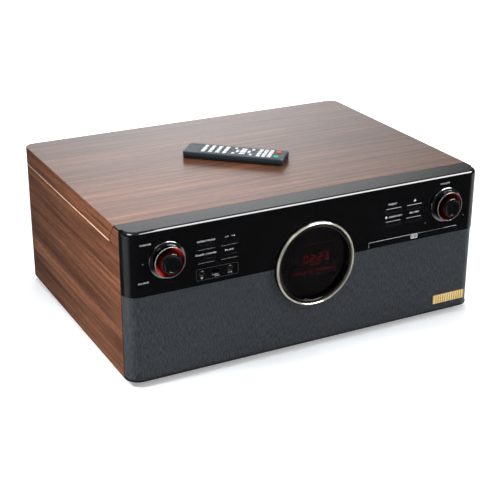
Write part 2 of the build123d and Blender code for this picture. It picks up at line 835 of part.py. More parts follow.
# --- CD player ----------------------------------------------------------------------------------------------
tray_bottom, tray_top = drawer_bottom + 1.6, drawer_bottom + 7.4
tray_width, tray_length = 131.0, 176.0
tray_front = front_y + 5.0
disc_y = tray_front + 68.0
gear_module, gear_teeth = 1.0, 18
gear_radius = gear_module * gear_teeth / 2
pressure_angle = radians(20)
rack_x = drawer_x - tray_width / 2 - 1.2
gear_x, gear_y = rack_x - gear_radius, tray_front + 24.0
tooth_pitch = pi * gear_module
backlash = 0.2

with BuildPart() as drawer_front:
    with BuildSketch(facing(tray_front)):
        with Locations((drawer_x, (drawer_bottom + drawer_top) / 2)):
            Rectangle(drawer_width, drawer_top - drawer_bottom)
    extrude(amount=tray_front - front_y + 1.0)
    chamfer(drawer_front.faces().sort_by(Axis.Y)[0].edges(), 0.7)
keep(drawer_front, "drawer_front")

rack_depth = 0.9 * gear_module
rack_teeth = int((tray_length - 12) / tooth_pitch)
with BuildPart() as cd_tray:
    with BuildSketch(Plane.XY.offset(tray_bottom)):
        with Locations((drawer_x, tray_front + tray_length / 2)):
            Rectangle(tray_width, tray_length)
    extrude(amount=tray_top - tray_bottom)
    with BuildSketch(Plane.XY.offset(tray_top)):
        with Locations((drawer_x, disc_y)):
            Circle(60.5)
    extrude(amount=-2.2, mode=Mode.SUBTRACT)
    with BuildSketch(Plane.XY.offset(tray_top)):
        with Locations((drawer_x, disc_y)):
            Circle(40.5)
    extrude(amount=-3.2, mode=Mode.SUBTRACT)
    with BuildSketch(Plane.XY.offset(tray_bottom)):
        with Locations((drawer_x, disc_y)):
            Circle(19)
        with Locations((drawer_x, (disc_y + tray_front + tray_length) / 2 + 2)):
            Rectangle(38, tray_front + tray_length - disc_y + 4)
    extrude(amount=tray_top - tray_bottom, mode=Mode.SUBTRACT)
    with BuildSketch(Plane.XY.offset(tray_bottom)):
        for tooth in range(rack_teeth):
            tooth_y = gear_y + (tooth + 0.5) * tooth_pitch - 6 * tooth_pitch
            root_half = tooth_pitch / 4 - backlash / 2 + rack_depth * tan(pressure_angle)
            tip_half = tooth_pitch / 4 - backlash / 2 - rack_depth * tan(pressure_angle)
            with BuildLine():
                Polyline(
                    (rack_x + 1.3, tooth_y - root_half),
                    (rack_x + rack_depth, tooth_y - root_half),
                    (rack_x - rack_depth, tooth_y - tip_half),
                    (rack_x - rack_depth, tooth_y + tip_half),
                    (rack_x + rack_depth, tooth_y + root_half),
                    (rack_x + 1.3, tooth_y + root_half),
                    close=True,
                )
            make_face()
    extrude(amount=3.0)
keep(cd_tray, "cd_tray")


def involute_point(base_radius, radius, turn):
    """A point at radius on the involute of the base circle, turned about the gear's centre."""
    roll = ((radius / base_radius) ** 2 - 1) ** 0.5
    angle = turn + roll - atan2(roll, 1)
    return (gear_x + radius * cos(angle), gear_y + radius * sin(angle))


gear_base = gear_radius * cos(pressure_angle)
gear_tip = gear_radius + 0.8 * gear_module
gear_root = gear_radius - 1.15 * gear_module
flank_steps = 6
with BuildPart() as drive_gear:
    with BuildSketch(Plane.XY.offset(tray_bottom - 0.4)):
        with Locations((gear_x, gear_y)):
            Circle(gear_root + 0.02)
        pitch_roll = (1 / cos(pressure_angle) ** 2 - 1) ** 0.5
        flank_lead = pitch_roll - atan2(pitch_roll, 1)
        half_tooth = (tooth_pitch / 2 - backlash) / 2 / gear_radius + flank_lead
        radii = [gear_base + (gear_tip - gear_base) * step / flank_steps for step in range(flank_steps + 1)]
        for tooth in range(gear_teeth):
            centre = tooth * 2 * pi / gear_teeth
            low_flank = [involute_point(gear_base, radius, centre - half_tooth) for radius in radii]
            high_flank = []
            for px, py in low_flank:
                angle = 2 * centre - atan2(py - gear_y, px - gear_x)
                radius = hypot(px - gear_x, py - gear_y)
                high_flank.insert(0, (gear_x + radius * cos(angle), gear_y + radius * sin(angle)))
            foot_low = (gear_x + 7 * cos(centre - half_tooth), gear_y + 7 * sin(centre - half_tooth))
            foot_high = (gear_x + 7 * cos(centre + half_tooth), gear_y + 7 * sin(centre + half_tooth))
            with BuildLine():
                Polyline(foot_low, *low_flank, *high_flank, foot_high, close=True)
            make_face()
    extrude(amount=3.8)
    with BuildSketch(Plane.XY.offset(tray_bottom - 0.4)):
        with Locations((gear_x, gear_y)):
            Circle(1.5 + running)
    extrude(amount=4, mode=Mode.SUBTRACT)
keep(drive_gear, "drive_gear")

chassis_bottom = tray_bottom - 12.0
chassis_wall = 2.0
chassis_floor = 2.4
chassis_half = tray_width / 2 + 4.5
bridge_z = drawer_top + 2.0
hub_bottom = chassis_bottom - 2.0
lens_low, lens_travel = 24.0, 32.0
rod_x, rod_radius, rod_z = 13.0, 1.0, chassis_bottom + chassis_floor / 2
window_low, window_length = disc_y + 15.0, 50.0
with BuildPart() as cd_chassis:
    with BuildSketch(Plane.XY.offset(chassis_bottom)):
        with Locations((drawer_x, tray_front + 20 + tray_length / 2)):
            Rectangle(2 * chassis_half + 2 * chassis_wall, tray_length)
        with Locations((drawer_x, window_low + window_length / 2)):
            Rectangle(36, window_length, mode=Mode.SUBTRACT)
        with Locations((gear_x + 2, gear_y)):
            Rectangle(16, 14)
    extrude(amount=chassis_floor)
    for side in (-1, 1):
        with BuildSketch(facing(window_low + window_length)):
            with Locations((drawer_x + side * rod_x, rod_z)):
                Circle(rod_radius)
        extrude(amount=window_length)
        wall_x = drawer_x + side * (chassis_half + chassis_wall / 2)
        with BuildSketch(Plane.XY.offset(chassis_bottom)):
            with Locations((wall_x, tray_front + 60 + (tray_length - 40) / 2)):
                Rectangle(chassis_wall, tray_length - 40)
        extrude(amount=bridge_z + 3 - chassis_bottom)
        rail_x = drawer_x + side * (tray_width / 2 - 6)
        with BuildSketch(Plane.XY.offset(chassis_bottom)):
            with Locations((rail_x, tray_front + 20 + tray_length / 2)):
                Rectangle(4, tray_length)
        extrude(amount=tray_bottom - 0.2 - chassis_bottom)
    with BuildSketch(Plane.XY.offset(bridge_z)):
        with Locations((drawer_x, disc_y)):
            Rectangle(2 * chassis_half + 2 * chassis_wall, 34)
    extrude(amount=3)
    with BuildSketch(Plane.XY.offset(bridge_z)):
        with Locations((drawer_x, disc_y)):
            Circle(15)
    extrude(amount=-3.2)
    with BuildSketch(Plane.XY.offset(chassis_bottom)):
        with Locations((gear_x, gear_y)):
            Circle(1.5)
    extrude(amount=tray_bottom + 3.4 - chassis_bottom)
    with BuildSketch(Plane.XY.offset(chassis_bottom)):
        with Locations((gear_x, gear_y)):
            Circle(3.4)
    extrude(amount=tray_bottom - 0.6 - chassis_bottom)
    with BuildSketch(Plane.XY.offset(hub_bottom)):
        with Locations((drawer_x, disc_y)):
            Circle(12)
    extrude(amount=6)
    with BuildSketch(Plane.XY.offset(hub_bottom + 1)):
        with Locations((drawer_x, disc_y)):
            Circle(1 + running)
    extrude(amount=6, mode=Mode.SUBTRACT)
keep(cd_chassis, "cd_chassis")

with BuildPart() as disc_hub:
    with BuildSketch(Plane.XY.offset(tray_bottom - 3)):
        with Locations((drawer_x, disc_y)):
            Circle(14)
    extrude(amount=4.6)
    with BuildSketch(Plane.XY.offset(tray_bottom + 1.6)):
        with Locations((drawer_x, disc_y)):
            Circle(7.4)
    extrude(amount=3.2, taper=10)
    with BuildSketch(Plane.XY.offset(hub_bottom + 1.2)):
        with Locations((drawer_x, disc_y)):
            Circle(1)
    extrude(amount=tray_bottom - 3 - hub_bottom - 1.2)
keep(disc_hub, "disc_hub")

with BuildPart() as pickup_sled:
    with BuildSketch(Plane.XY.offset(chassis_bottom - 1)):
        with Locations((drawer_x, disc_y + lens_low)):
            Rectangle(32, 14)
    extrude(amount=8)
    with BuildSketch(Plane.XY.offset(chassis_bottom + 7)):
        with Locations((drawer_x, disc_y + lens_low)):
            Circle(3.6)
    extrude(amount=1.6)
    with BuildSketch(facing(disc_y + lens_low + 8)):
        with Locations((drawer_x - rod_x, rod_z), (drawer_x + rod_x, rod_z)):
            Circle(rod_radius + running)
    extrude(amount=16, mode=Mode.SUBTRACT)
keep(pickup_sled, "pickup_sled")

# --- electronics and rear terminals -------------------------------------------------------------------------
main_board_y, main_board_z = 110.0, base_z + base_thickness + 8.0
standoff_places = [(x, main_board_y + y) for x in (-70, 110) for y in (-38, 38)]
with BuildPart() as main_board:
    with BuildSketch(Plane.XY.offset(main_board_z)):
        with Locations((20, main_board_y)):
            Rectangle(200, 96)
    extrude(amount=board_thickness)
    with BuildSketch(Plane.XY.offset(base_z + base_thickness)):
        with Locations(*standoff_places):
            Circle(3.5)
    extrude(amount=main_board_z - base_z - base_thickness)
    with BuildSketch(Plane.XY.offset(main_board_z + board_thickness)):
        with Locations((60, main_board_y - 10), (20, main_board_y + 20), (-30, main_board_y - 20)):
            Rectangle(16, 16)
    extrude(amount=2.5)
    with BuildSketch(Plane.XY.offset(main_board_z + board_thickness)):
        with Locations((-50, main_board_y + 25)):
            with GridLocations(20, 0, 3, 1):
                Circle(6)
    extrude(amount=20)
    with BuildSketch(Plane.XY.offset(main_board_z + board_thickness)):
        with Locations((95, main_board_y - 24)):
            Rectangle(40, 3)
            with GridLocations(6, 0, 7, 1):
                with Locations((0, 8)):
                    Rectangle(1.6, 14)
    extrude(amount=26)
keep(main_board, "main_board")

transformer_x, transformer_y = -175.0, 95.0
with BuildPart() as power_transformer:
    with BuildSketch(Plane.XY.offset(base_z + base_thickness)):
        with Locations((transformer_x, transformer_y)):
            Rectangle(56, 46)
    extrude(amount=46)
    with BuildSketch(Plane.XY.offset(base_z + base_thickness)):
        with Locations((transformer_x, transformer_y)):
            Rectangle(78, 24)
    extrude(amount=2)
    with BuildSketch(Plane.XY.offset(base_z + base_thickness + 9)):
        with Locations((transformer_x, transformer_y)):
            RectangleRounded(42, 62, 6)
    extrude(amount=28)
keep(power_transformer, "power_transformer")

jack_columns = (-28.0, -10.0, 10.0, 28.0)
jack_rows = (-8.0, 8.0)
jack_radius, jack_bore, jack_bore_depth, plate_thickness = 4.1, 1.6, 7.0, 1.6
with BuildPart() as rear_terminals:
    with BuildSketch(facing(rear_y)):
        with Locations((terminal_x, terminal_z)):
            RectangleRounded(terminal_width, terminal_height, 3)
    extrude(amount=-plate_thickness)
    jack_places = [(terminal_x + x, terminal_z + z) for x in jack_columns for z in jack_rows]
    with BuildSketch(facing(rear_y + plate_thickness)):
        with Locations(*jack_places):
            Circle(jack_radius)
    extrude(amount=-(rear_proud - plate_thickness))
    with BuildSketch(facing(rear_y + rear_proud)):
        with Locations(*jack_places):
            Circle(jack_bore)
    extrude(amount=jack_bore_depth, mode=Mode.SUBTRACT)
keep(rear_terminals, "rear_terminals")

inlet_depth, inlet_floor, pin_length = 16.0, 3.0, 6.0
with BuildPart() as mains_inlet:
    with BuildSketch(facing(rear_y)):
        with Locations((inlet_x, inlet_z)):
            RectangleRounded(inlet_width, inlet_height, 2)
    extrude(amount=-plate_thickness)
    with BuildSketch(facing(rear_y)):
        with Locations((inlet_x, inlet_z)):
            Rectangle(inlet_width - 6, inlet_height - 6)
    extrude(amount=inlet_depth)
    with BuildSketch(facing(rear_y + plate_thickness)):
        with Locations((inlet_x, inlet_z)):
            SlotOverall(17, 9)
    extrude(amount=plate_thickness + inlet_depth - inlet_floor, mode=Mode.SUBTRACT)
    with BuildSketch(facing(rear_y - inlet_depth + inlet_floor)):
        with Locations((inlet_x - 4, inlet_z), (inlet_x + 4, inlet_z)):
            Circle(1.2)
    extrude(amount=-pin_length)
keep(mains_inlet, "mains_inlet")

# --- remote control -----------------------------------------------------------------------------------------
remote_x, remote_y, remote_turn = -14.0, 6.5, -42.0
remote_length, remote_width = 138.0, 40.0
split_height, upper_height, case_wall = 4.6, 9.4, 1.6


def remote_plane(height):
    """The plane at a height above the lid, with its x along the remote's length."""
    return Plane((remote_x, remote_y, top_z + height)).rotated((0, 0, remote_turn))


with BuildPart() as remote_lower_case:
    with BuildSketch(remote_plane(0)):
        RectangleRounded(remote_length, remote_width, 5)
    extrude(amount=split_height)
    chamfer(remote_lower_case.faces().sort_by(Axis.Z)[0].edges(), 1.2)
    with BuildSketch(remote_plane(case_wall)):
        RectangleRounded(remote_length - 4, remote_width - 4, 3)
    extrude(amount=split_height - case_wall, mode=Mode.SUBTRACT)
keep(remote_lower_case, "remote_lower_case")

# Key centres along and across the remote, with each key's length and width.
long_keys = [(-42.5 + 9.8 * column, row, 5.2, 7.8) for column in range(4) for row in (-9.4, 0, 9.4)]
block_keys = [(33 + 7.4 * column, row, 5.4, 5.6) for column in range(3) for row in (-11.6, -3.9, 3.9, 11.6)]
cross_keys = [(10.4, 0, 8.4, 8.4), (2.4, 0, 3.6, 8), (18.4, 0, 3.6, 8), (10.4, 9, 8, 3.8), (10.4, -9, 8, 3.8)]
small_keys = [(along, row, 4.0, 4.6) for along in (-1.6, 22.4) for row in (-10, 10)]
round_keys = [(57, 9.5), (57, -9.5)]
round_radius, key_corner, keypad_proud = 3.6, 1.2, 1.0


def key_sketch(grow):
    """All the remote's keys in plan, each grown by the same margin."""
    for along, sideways, length, breadth in long_keys + block_keys + cross_keys + small_keys:
        with Locations((along, sideways)):
            RectangleRounded(length + 2 * grow, breadth + 2 * grow, key_corner)
    with Locations(*round_keys):
        Circle(round_radius + grow)


with BuildPart() as remote_upper_case:
    with BuildSketch(remote_plane(split_height)):
        RectangleRounded(remote_length, remote_width, 5)
    extrude(amount=upper_height - split_height)
    fillet(remote_upper_case.faces().sort_by(Axis.Z)[-1].edges(), 1.6)
    with BuildSketch(remote_plane(split_height)):
        RectangleRounded(remote_length - 4, remote_width - 4, 3)
    extrude(amount=upper_height - split_height - case_wall, mode=Mode.SUBTRACT)
    with BuildSketch(remote_plane(split_height)):
        key_sketch(0.35)
    extrude(amount=upper_height - split_height, mode=Mode.SUBTRACT)
keep(remote_upper_case, "remote_upper_case")

with BuildPart() as remote_keypad:
    with BuildSketch(remote_plane(split_height)):
        RectangleRounded(remote_length - 6, remote_width - 6, 2)
    extrude(amount=1.4)
    with BuildSketch(remote_plane(split_height)):
        key_sketch(0)
    extrude(amount=upper_height - split_height + keypad_proud)
keep(remote_keypad, "remote_keypad")
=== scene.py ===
import math

import bmesh
import bpy
from mathutils import Matrix, Vector


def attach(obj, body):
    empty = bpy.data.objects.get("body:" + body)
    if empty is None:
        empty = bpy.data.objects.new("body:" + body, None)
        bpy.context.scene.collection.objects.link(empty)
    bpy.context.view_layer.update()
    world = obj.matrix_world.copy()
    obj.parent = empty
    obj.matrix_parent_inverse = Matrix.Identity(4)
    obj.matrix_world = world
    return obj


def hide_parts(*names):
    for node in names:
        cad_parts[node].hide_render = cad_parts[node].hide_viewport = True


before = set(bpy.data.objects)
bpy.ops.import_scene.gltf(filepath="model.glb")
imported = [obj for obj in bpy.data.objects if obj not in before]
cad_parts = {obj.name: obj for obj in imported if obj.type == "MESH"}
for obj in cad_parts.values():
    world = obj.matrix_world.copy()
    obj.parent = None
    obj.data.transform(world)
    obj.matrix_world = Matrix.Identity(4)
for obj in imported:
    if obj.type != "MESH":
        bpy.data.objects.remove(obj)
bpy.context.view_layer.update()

# The looks of a retro all-in-one stereo. Lengths are millimetres in the row frame, until a matrix from the
# places below makes them metres.
MM = 0.001
width, top_z, base_z, seam_z = 500.0, 200.0, 8.0, 175.6
front_y, rear_y, wrap_y = -181.0, 189.0, -161.0
fascia_z, front_corner, lip = 119.4, 18.0, 2.0
display_z, display_radius, display_opening, window_y = 117.3, 56.0, 48.5, front_y + 1.0
knob_x, knob_z = {-1: -199.0, 1: 196.0}, 161.0
bezel_radius, light_radius = 23.2, 18.4
key_width, key_height = 24.4, 6.6
key_columns, key_rows = {-1: (-118.0, -148.8), 1: (114.6, 146.3)}, (166.9, 149.7)
key_proud = {-1: 0.3, 1: 1.2}
jack_z, headphone_x, usb_x, line_in_x = 133.6, -154.6, -136.2, -117.4
drawer_x, drawer_width, drawer_bottom, drawer_top = 147.5, 138.0, 119.9, 129.0
badge_x, badge_z, badge_width, badge_height = 212.0, 24.8, 50.5, 12.6
deck_z, platter_z, record_z = 151.0, 154.5, 166.5
spindle_x, spindle_y, platter_radius = -70.0, 25.0, 114.0
remote_x, remote_y, remote_turn = -14.0, 6.5, -42.0
remote_length, remote_width, split_height, upper_height = 138.0, 40.0, 4.6, 9.4
key_sink, key_rise = 0.4, 1.0
terminal_x, terminal_z, inlet_x, inlet_z = 60.0, 70.0, -175.0, 44.0
switch_x, switch_y = 160.0, -95.0


# --- places -------------------------------------------------------------------------------------------------
def upright(x, y, z):
    """Local millimetres at a point, with local z up."""
    return Matrix.Scale(MM, 4) @ Matrix.Translation((x, y, z))


def facing(x, z, y=front_y):
    """Local millimetres on the front: local x is across, y is up and z comes out of the front."""
    return upright(x, y, z) @ Matrix.Rotation(math.pi / 2, 4, "X")


def backing(x, z, y=rear_y):
    """The same on the back, where local z comes out of the back."""
    return upright(x, y, z) @ Matrix.Rotation(-math.pi / 2, 4, "X") @ Matrix.Rotation(math.pi, 4, "Z")


def remote_place(height):
    """On the remote, with local x along it and heights above the lid."""
    return upright(remote_x, remote_y, top_z + height) @ Matrix.Rotation(math.radians(remote_turn), 4, "Z")


# --- meshes -------------------------------------------------------------------------------------------------
def circle(radius, x=0.0, y=0.0, steps=32):
    angles = [2 * math.pi * step / steps for step in range(steps)]
    return [(x + radius * math.cos(a), y + radius * math.sin(a)) for a in angles]


def rounded(across, high, radius, x=0.0, y=0.0, steps=5):
    """A rectangle's outline with rounded corners."""
    points = []
    for corner in range(4):
        cx = (across / 2 - radius) * (1 if corner in (0, 3) else -1)
        cy = (high / 2 - radius) * (1 if corner < 2 else -1)
        for step in range(steps + 1):
            a = math.radians(90 * (corner + step / steps))
            points.append((x + cx + radius * math.cos(a), y + cy + radius * math.sin(a)))
    return points


def inset(outline, amount):
    """An outline moved inwards by an amount, whichever way round it runs."""
    area = sum(a[0] * b[1] - b[0] * a[1] for a, b in zip(outline, outline[1:] + outline[:1]))
    moved = []
    for before, here, after in zip(outline[-1:] + outline[:-1], outline, outline[1:] + outline[:1]):
        a, b = (Vector(here) - Vector(before)).normalized(), (Vector(after) - Vector(here)).normalized()
        inward = Vector((-a.y - b.y, a.x + b.x)) / (1 + a.dot(b)) * math.copysign(amount, area)
        moved.append((here[0] + inward.x, here[1] + inward.y))
    return moved


def slab(bm, outline, low, high, place, bevel=0.0, segments=3):
    """A prism over an outline, from low to high on local z, with its high face's edges rounded."""
    levels = [(0.0, low), (0.0, high - bevel)]
    for step in range(1, segments + 1 if bevel else 1):
        a = math.pi / 2 * step / segments
        levels.append((bevel * (1 - math.cos(a)), high - bevel + bevel * math.sin(a)))
    rings = []
    for inward, z in levels:
        rings.append([bm.verts.new(place @ Vector((x, y, z))) for x, y in inset(outline, inward)])
    bm.faces.new(rings[0][::-1])
    bm.faces.new(rings[-1])
    for near, far in zip(rings, rings[1:]):
        for i in range(len(outline)):
            j = (i + 1) % len(outline)
            bm.faces.new((near[i], near[j], far[j], far[i]))


def lathe(bm, points, place, steps=128):
    """A closed profile of (radius, height) points turned about local z."""
    rings = []
    for radius, height in points:
        count = steps if radius else 1
        ring = circle(radius, steps=count)
        rings.append([bm.verts.new(place @ Vector((x, y, height))) for x, y in ring])
    for near, far in zip(rings, rings[1:] + rings[:1]):
        for i in range(steps if len(near) + len(far) > 2 else 0):
            j = (i + 1) % steps
            corners = (near[i % len(near)], near[j % len(near)], far[j % len(far)], far[i % len(far)])
            bm.faces.new(tuple(dict.fromkeys(corners)))


def softened(points, radius, steps=4):
    """A closed profile with every corner rounded by an arc-like curve that starts radius away from it."""
    soft = []
    for before, corner, after in zip(points[-1:] + points[:-1], points, points[1:] + points[:1]):
        if corner[0] == 0:
            soft.append(corner)
            continue
        c = Vector(corner)
        reach_in = min(radius, (Vector(before) - c).length * 0.45)
        reach_out = min(radius, (Vector(after) - c).length * 0.45)
        a = c + (Vector(before) - c).normalized() * reach_in
        b = c + (Vector(after) - c).normalized() * reach_out
        for step in range(steps + 1):
            t = step / steps
            p = a * (1 - t) ** 2 + c * 2 * t * (1 - t) + b * t**2
            soft.append((p.x, p.y))
    return soft


def lettering(bm, text, x, z, across, high, place, thick=0.06):
    """Generic lettering scaled to a box centred at (x, z) on the local xy plane."""
    curve = bpy.data.curves.new("lettering", "FONT")
    curve.body = text
    curve.resolution_u = 3
    writer = bpy.data.objects.new("lettering", curve)
    mesh = bpy.data.meshes.new_from_object(writer)
    low = Vector([min(v.co[i] for v in mesh.vertices) for i in range(2)])
    high_corner = Vector([max(v.co[i] for v in mesh.vertices) for i in range(2)])
    size = high_corner - low
    centring = Matrix.Translation((*(-(low + high_corner) / 2), 0))
    scaling = Matrix.Diagonal((across / size.x, high / size.y, 1, 1))
    mesh.transform(place @ Matrix.Translation((x, z, thick)) @ scaling @ centring)
    bm.from_mesh(mesh)
    bpy.data.objects.remove(writer)
    bpy.data.curves.remove(curve)
    bpy.data.meshes.remove(mesh)


def piece(name, bm, material, body, replaces=(), smooth=38):
    """Makes the mesh an object that rides on a CAD body."""
    bmesh.ops.recalc_face_normals(bm, faces=bm.faces)
    areas = {face: face.calc_area() for face in bm.faces}
    for face in bm.faces:
        face.smooth = True
    for edge in bm.edges:
        bend = edge.calc_face_angle(0.0) if len(edge.link_faces) == 2 else 0.0
        sides = [areas[face] for face in edge.link_faces]
        uneven = bend > math.radians(4) and max(sides) > 6 * min(sides)
        edge.smooth = bend < math.radians(smooth) and not uneven
    mesh = bpy.data.meshes.new(name)
    bm.to_mesh(mesh)
    bm.free()
    mesh.materials.append(material)
    made = bpy.data.objects.new(name, mesh)
    bpy.context.scene.collection.objects.link(made)
    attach(made, body)
    if replaces:
        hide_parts(*replaces)
    return made


# --- materials ----------------------------------------------------------------------------------------------
class Nodes:
    """Shorthand for building a node tree."""

    def __init__(self, tree):
        self.tree = tree
        self.coords = tree.nodes.new("ShaderNodeTexCoord")

    def node(self, kind, settings=(), **inputs):
        made = self.tree.nodes.new("ShaderNode" + kind)
        for key, value in dict(settings).items():
            setattr(made, key, value)
        for key, value in inputs.items():
            numbered = key[0] == "i" and key[1:].isdigit()
            socket = made.inputs[int(key[1:]) if numbered else key.replace("_", " ")]
            if isinstance(value, bpy.types.NodeSocket):
                self.tree.links.new(value, socket)
            else:
                socket.default_value = value
        return made

    def stretched(self, scale, location=(0, 0, 0), source="Object"):
        made = self.node("Mapping", Vector=self.coords.outputs[source], Scale=scale, Location=location)
        return made.outputs[0]

    def axes(self, source="Object"):
        return self.node("SeparateXYZ", i0=self.coords.outputs[source]).outputs

    def noise(self, vector, scale=1.0, detail=3.0, roughness=0.5, distortion=0.0):
        made = self.node("TexNoise", Vector=vector, Scale=scale, Detail=detail, Roughness=roughness,
                         Distortion=distortion)
        return made.outputs[0]

    def math(self, operation, a, b=0.0):
        return self.node("Math", {"operation": operation}, i0=a, i1=b).outputs[0]

    def ramp(self, fac, *stops):
        made = self.node("ValToRGB", Fac=fac)
        elements = made.color_ramp.elements
        while len(elements) < len(stops):
            elements.new(0.5)
        for element, (position, colour) in zip(elements, stops):
            element.position = position
            element.color = (*colour, 1) if len(colour) == 3 else colour
        return made.outputs[0]

    def mix(self, fac, a, b, mode="MIX"):
        made = self.node("Mix", {"data_type": "RGBA", "blend_type": mode})
        for socket, value in ((made.inputs[0], fac), (made.inputs[6], a), (made.inputs[7], b)):
            if isinstance(value, bpy.types.NodeSocket):
                self.tree.links.new(value, socket)
            else:
                socket.default_value = (*value, 1) if isinstance(value, tuple) else value
        return made.outputs[2]

    def range(self, value, low, high, start=0.0, end=1.0, smooth=False):
        """Maps value from start-end to low-high, and keeps it there."""
        kind = {"interpolation_type": "SMOOTHSTEP" if smooth else "LINEAR"}
        made = self.node("MapRange", kind, Value=value, From_Min=start, From_Max=end, To_Min=low, To_Max=high)
        return made.outputs[0]


class Finish(Nodes):
    """A procedural material: a Principled shader and the nodes that feed it."""

    def __init__(self, name, **values):
        self.material = bpy.data.materials.new(name)
        self.material.use_nodes = True
        super().__init__(self.material.node_tree)
        self.shader = self.tree.nodes["Principled BSDF"]
        for key, value in values.items():
            self.shader.inputs[key.replace("_", " ")].default_value = value

    def feed(self, socket, value):
        self.tree.links.new(value, self.shader.inputs[socket])

    def bump(self, height, strength, distance):
        made = self.node("Bump", Strength=strength, Distance=distance, Height=height)
        self.feed("Normal", made.outputs[0])


def grained(name, dark, light, roughness, scale=900.0, relief=0.15, **values):
    """Moulded plastic, rubber or paint: faint mottling, uneven gloss and a fine moulded grain."""
    made = Finish(name, **values)
    place = made.stretched((1, 1, 1))
    mottle = made.noise(place, 45.0, 4.0, 0.6)
    made.feed("Base Color", made.ramp(mottle, (0.3, dark), (0.7, light)))
    made.feed("Roughness", made.range(made.noise(place, 140.0, 3.0), roughness * 0.8, roughness * 1.2))
    made.bump(made.noise(place, scale, 2.0), relief, 0.0001)
    return made.material


def brushed(name, dark, light, roughness, scale=(30, 1500, 1500), relief=0.08, metallic=1.0):
    """Metal with fine lines along its least scaled axis."""
    made = Finish(name, Metallic=metallic)
    lines = made.noise(made.stretched(scale), 1.0, 3.0, 0.6)
    haze = made.noise(made.stretched((1, 1, 1)), 35.0, 3.0)
    blend = made.math("ADD", made.math("MULTIPLY", lines, 0.6), made.math("MULTIPLY", haze, 0.4))
    made.feed("Base Color", made.ramp(blend, (0.3, dark), (0.7, light)))
    made.feed("Roughness", made.range(lines, roughness * 0.75, roughness * 1.3))
    made.bump(lines, relief, 0.00005)
    return made.material


def turned_metal(name, centre, dark, light, roughness, pitch=0.5, relief=0.12, flat=(1, 0, 1), **values):
    """Metal with the fine rings a lathe leaves, about a centre in millimetres."""
    made = Finish(name, **{"Metallic": 1.0, **values})
    local = made.stretched(flat, tuple(-c * MM * f for c, f in zip(centre, flat)))
    radius = made.node("VectorMath", {"operation": "LENGTH"}, i0=local).outputs["Value"]
    rings = made.math("SINE", made.math("MULTIPLY", radius, 2 * math.pi / (pitch * MM)))
    uneven = made.noise(made.stretched((1, 1, 1)), 120.0, 4.0, 0.6)
    blend = made.math("ADD", made.math("MULTIPLY", rings, 0.15), uneven)
    made.feed("Base Color", made.ramp(blend, (0.3, dark), (0.7, light)))
    made.feed("Roughness", made.range(uneven, roughness * 0.7, roughness * 1.3))
    made.bump(rings, relief, 0.00004)
    return made.material


def walnut_grain(made, along, offset):
    """Figure, fine lines and pores that run along one axis, as one brightness value, and the pores alone."""
    def across(long_scale, side_scale):
        return tuple(long_scale if axis == along else side_scale for axis in range(3))

    figure = made.noise(made.stretched(across(2.0, 30), offset), 1.0, 4.0, 0.55, 0.8)
    bands = made.noise(made.stretched(across(3.0, 150), offset), 1.0, 4.0, 0.6, 0.5)
    lines = made.noise(made.stretched(across(6, 330), offset), 1.0, 5.0, 0.7)
    pores = made.noise(made.stretched(across(90, 2400), offset), 1.0, 2.0)
    tone = made.math("ADD", made.math("MULTIPLY", figure, 0.26), made.math("MULTIPLY", bands, 0.34))
    tone = made.math("ADD", tone, made.math("MULTIPLY", lines, 0.40))
    return tone, pores


def walnut():
    """Oiled walnut veneer: it runs front to back on the sides and across the lid, bare-edged at its seam."""
    made = Finish("walnut_veneer", Coat_Weight=0.75, Coat_Roughness=0.26, Specular_IOR_Level=0.4)
    top_tone, top_pores = walnut_grain(made, 0, (0.13, 0.4, 0.2))
    side_tone, side_pores = walnut_grain(made, 1, (0.7, 0.31, 0.55))
    normal = made.axes("Normal")
    on_side = made.math("GREATER_THAN", made.math("ABSOLUTE", normal[0]), 0.6)
    chosen = made.node("Mix", {"data_type": "FLOAT"}, i0=on_side, i2=top_tone, i3=side_tone).outputs[0]
    pores = made.node("Mix", {"data_type": "FLOAT"}, i0=on_side, i2=top_pores, i3=side_pores).outputs[0]
    wood = made.ramp(chosen, (0.37, (0.055, 0.018, 0.009)), (0.45, (0.125, 0.044, 0.021)),
                     (0.53, (0.215, 0.08, 0.037)), (0.62, (0.37, 0.148, 0.072)))
    dark_pores = made.ramp(pores, (0.36, (0.5, 0.44, 0.4)), (0.46, (1, 1, 1)))
    wood = made.mix(1.0, wood, dark_pores, "MULTIPLY")
    slanted = made.math("MULTIPLY", made.math("GREATER_THAN", made.math("ABSOLUTE", normal[0]), 0.4),
                        made.math("GREATER_THAN", made.math("ABSOLUTE", normal[2]), 0.4))
    at_seam = made.math("LESS_THAN", made.axes()[2], (seam_z + 2) * MM)
    made.feed("Base Color", made.mix(made.math("MULTIPLY", slanted, at_seam), wood, (0.62, 0.42, 0.29)))
    made.feed("Roughness", made.range(chosen, 0.5, 0.36))
    relief = made.math("ADD", made.math("MULTIPLY", pores, 0.6), made.math("MULTIPLY", chosen, 0.4))
    made.bump(relief, 0.14, 0.0002)
    return made.material


def lacquer(name, colour, roughness, specular=0.5):
    """Gloss lacquer with faint orange peel and haze."""
    made = Finish(name, Specular_IOR_Level=specular)
    place = made.stretched((1, 1, 1))
    haze = made.noise(place, 22.0, 4.0, 0.6)
    made.feed("Base Color", made.ramp(haze, (0.3, colour), (0.75, tuple(c * 1.5 for c in colour))))
    made.feed("Roughness", made.range(haze, roughness * 0.9, roughness * 1.1))
    made.bump(made.noise(place, 60.0, 1.0), 0.01, 0.0001)
    return made.material


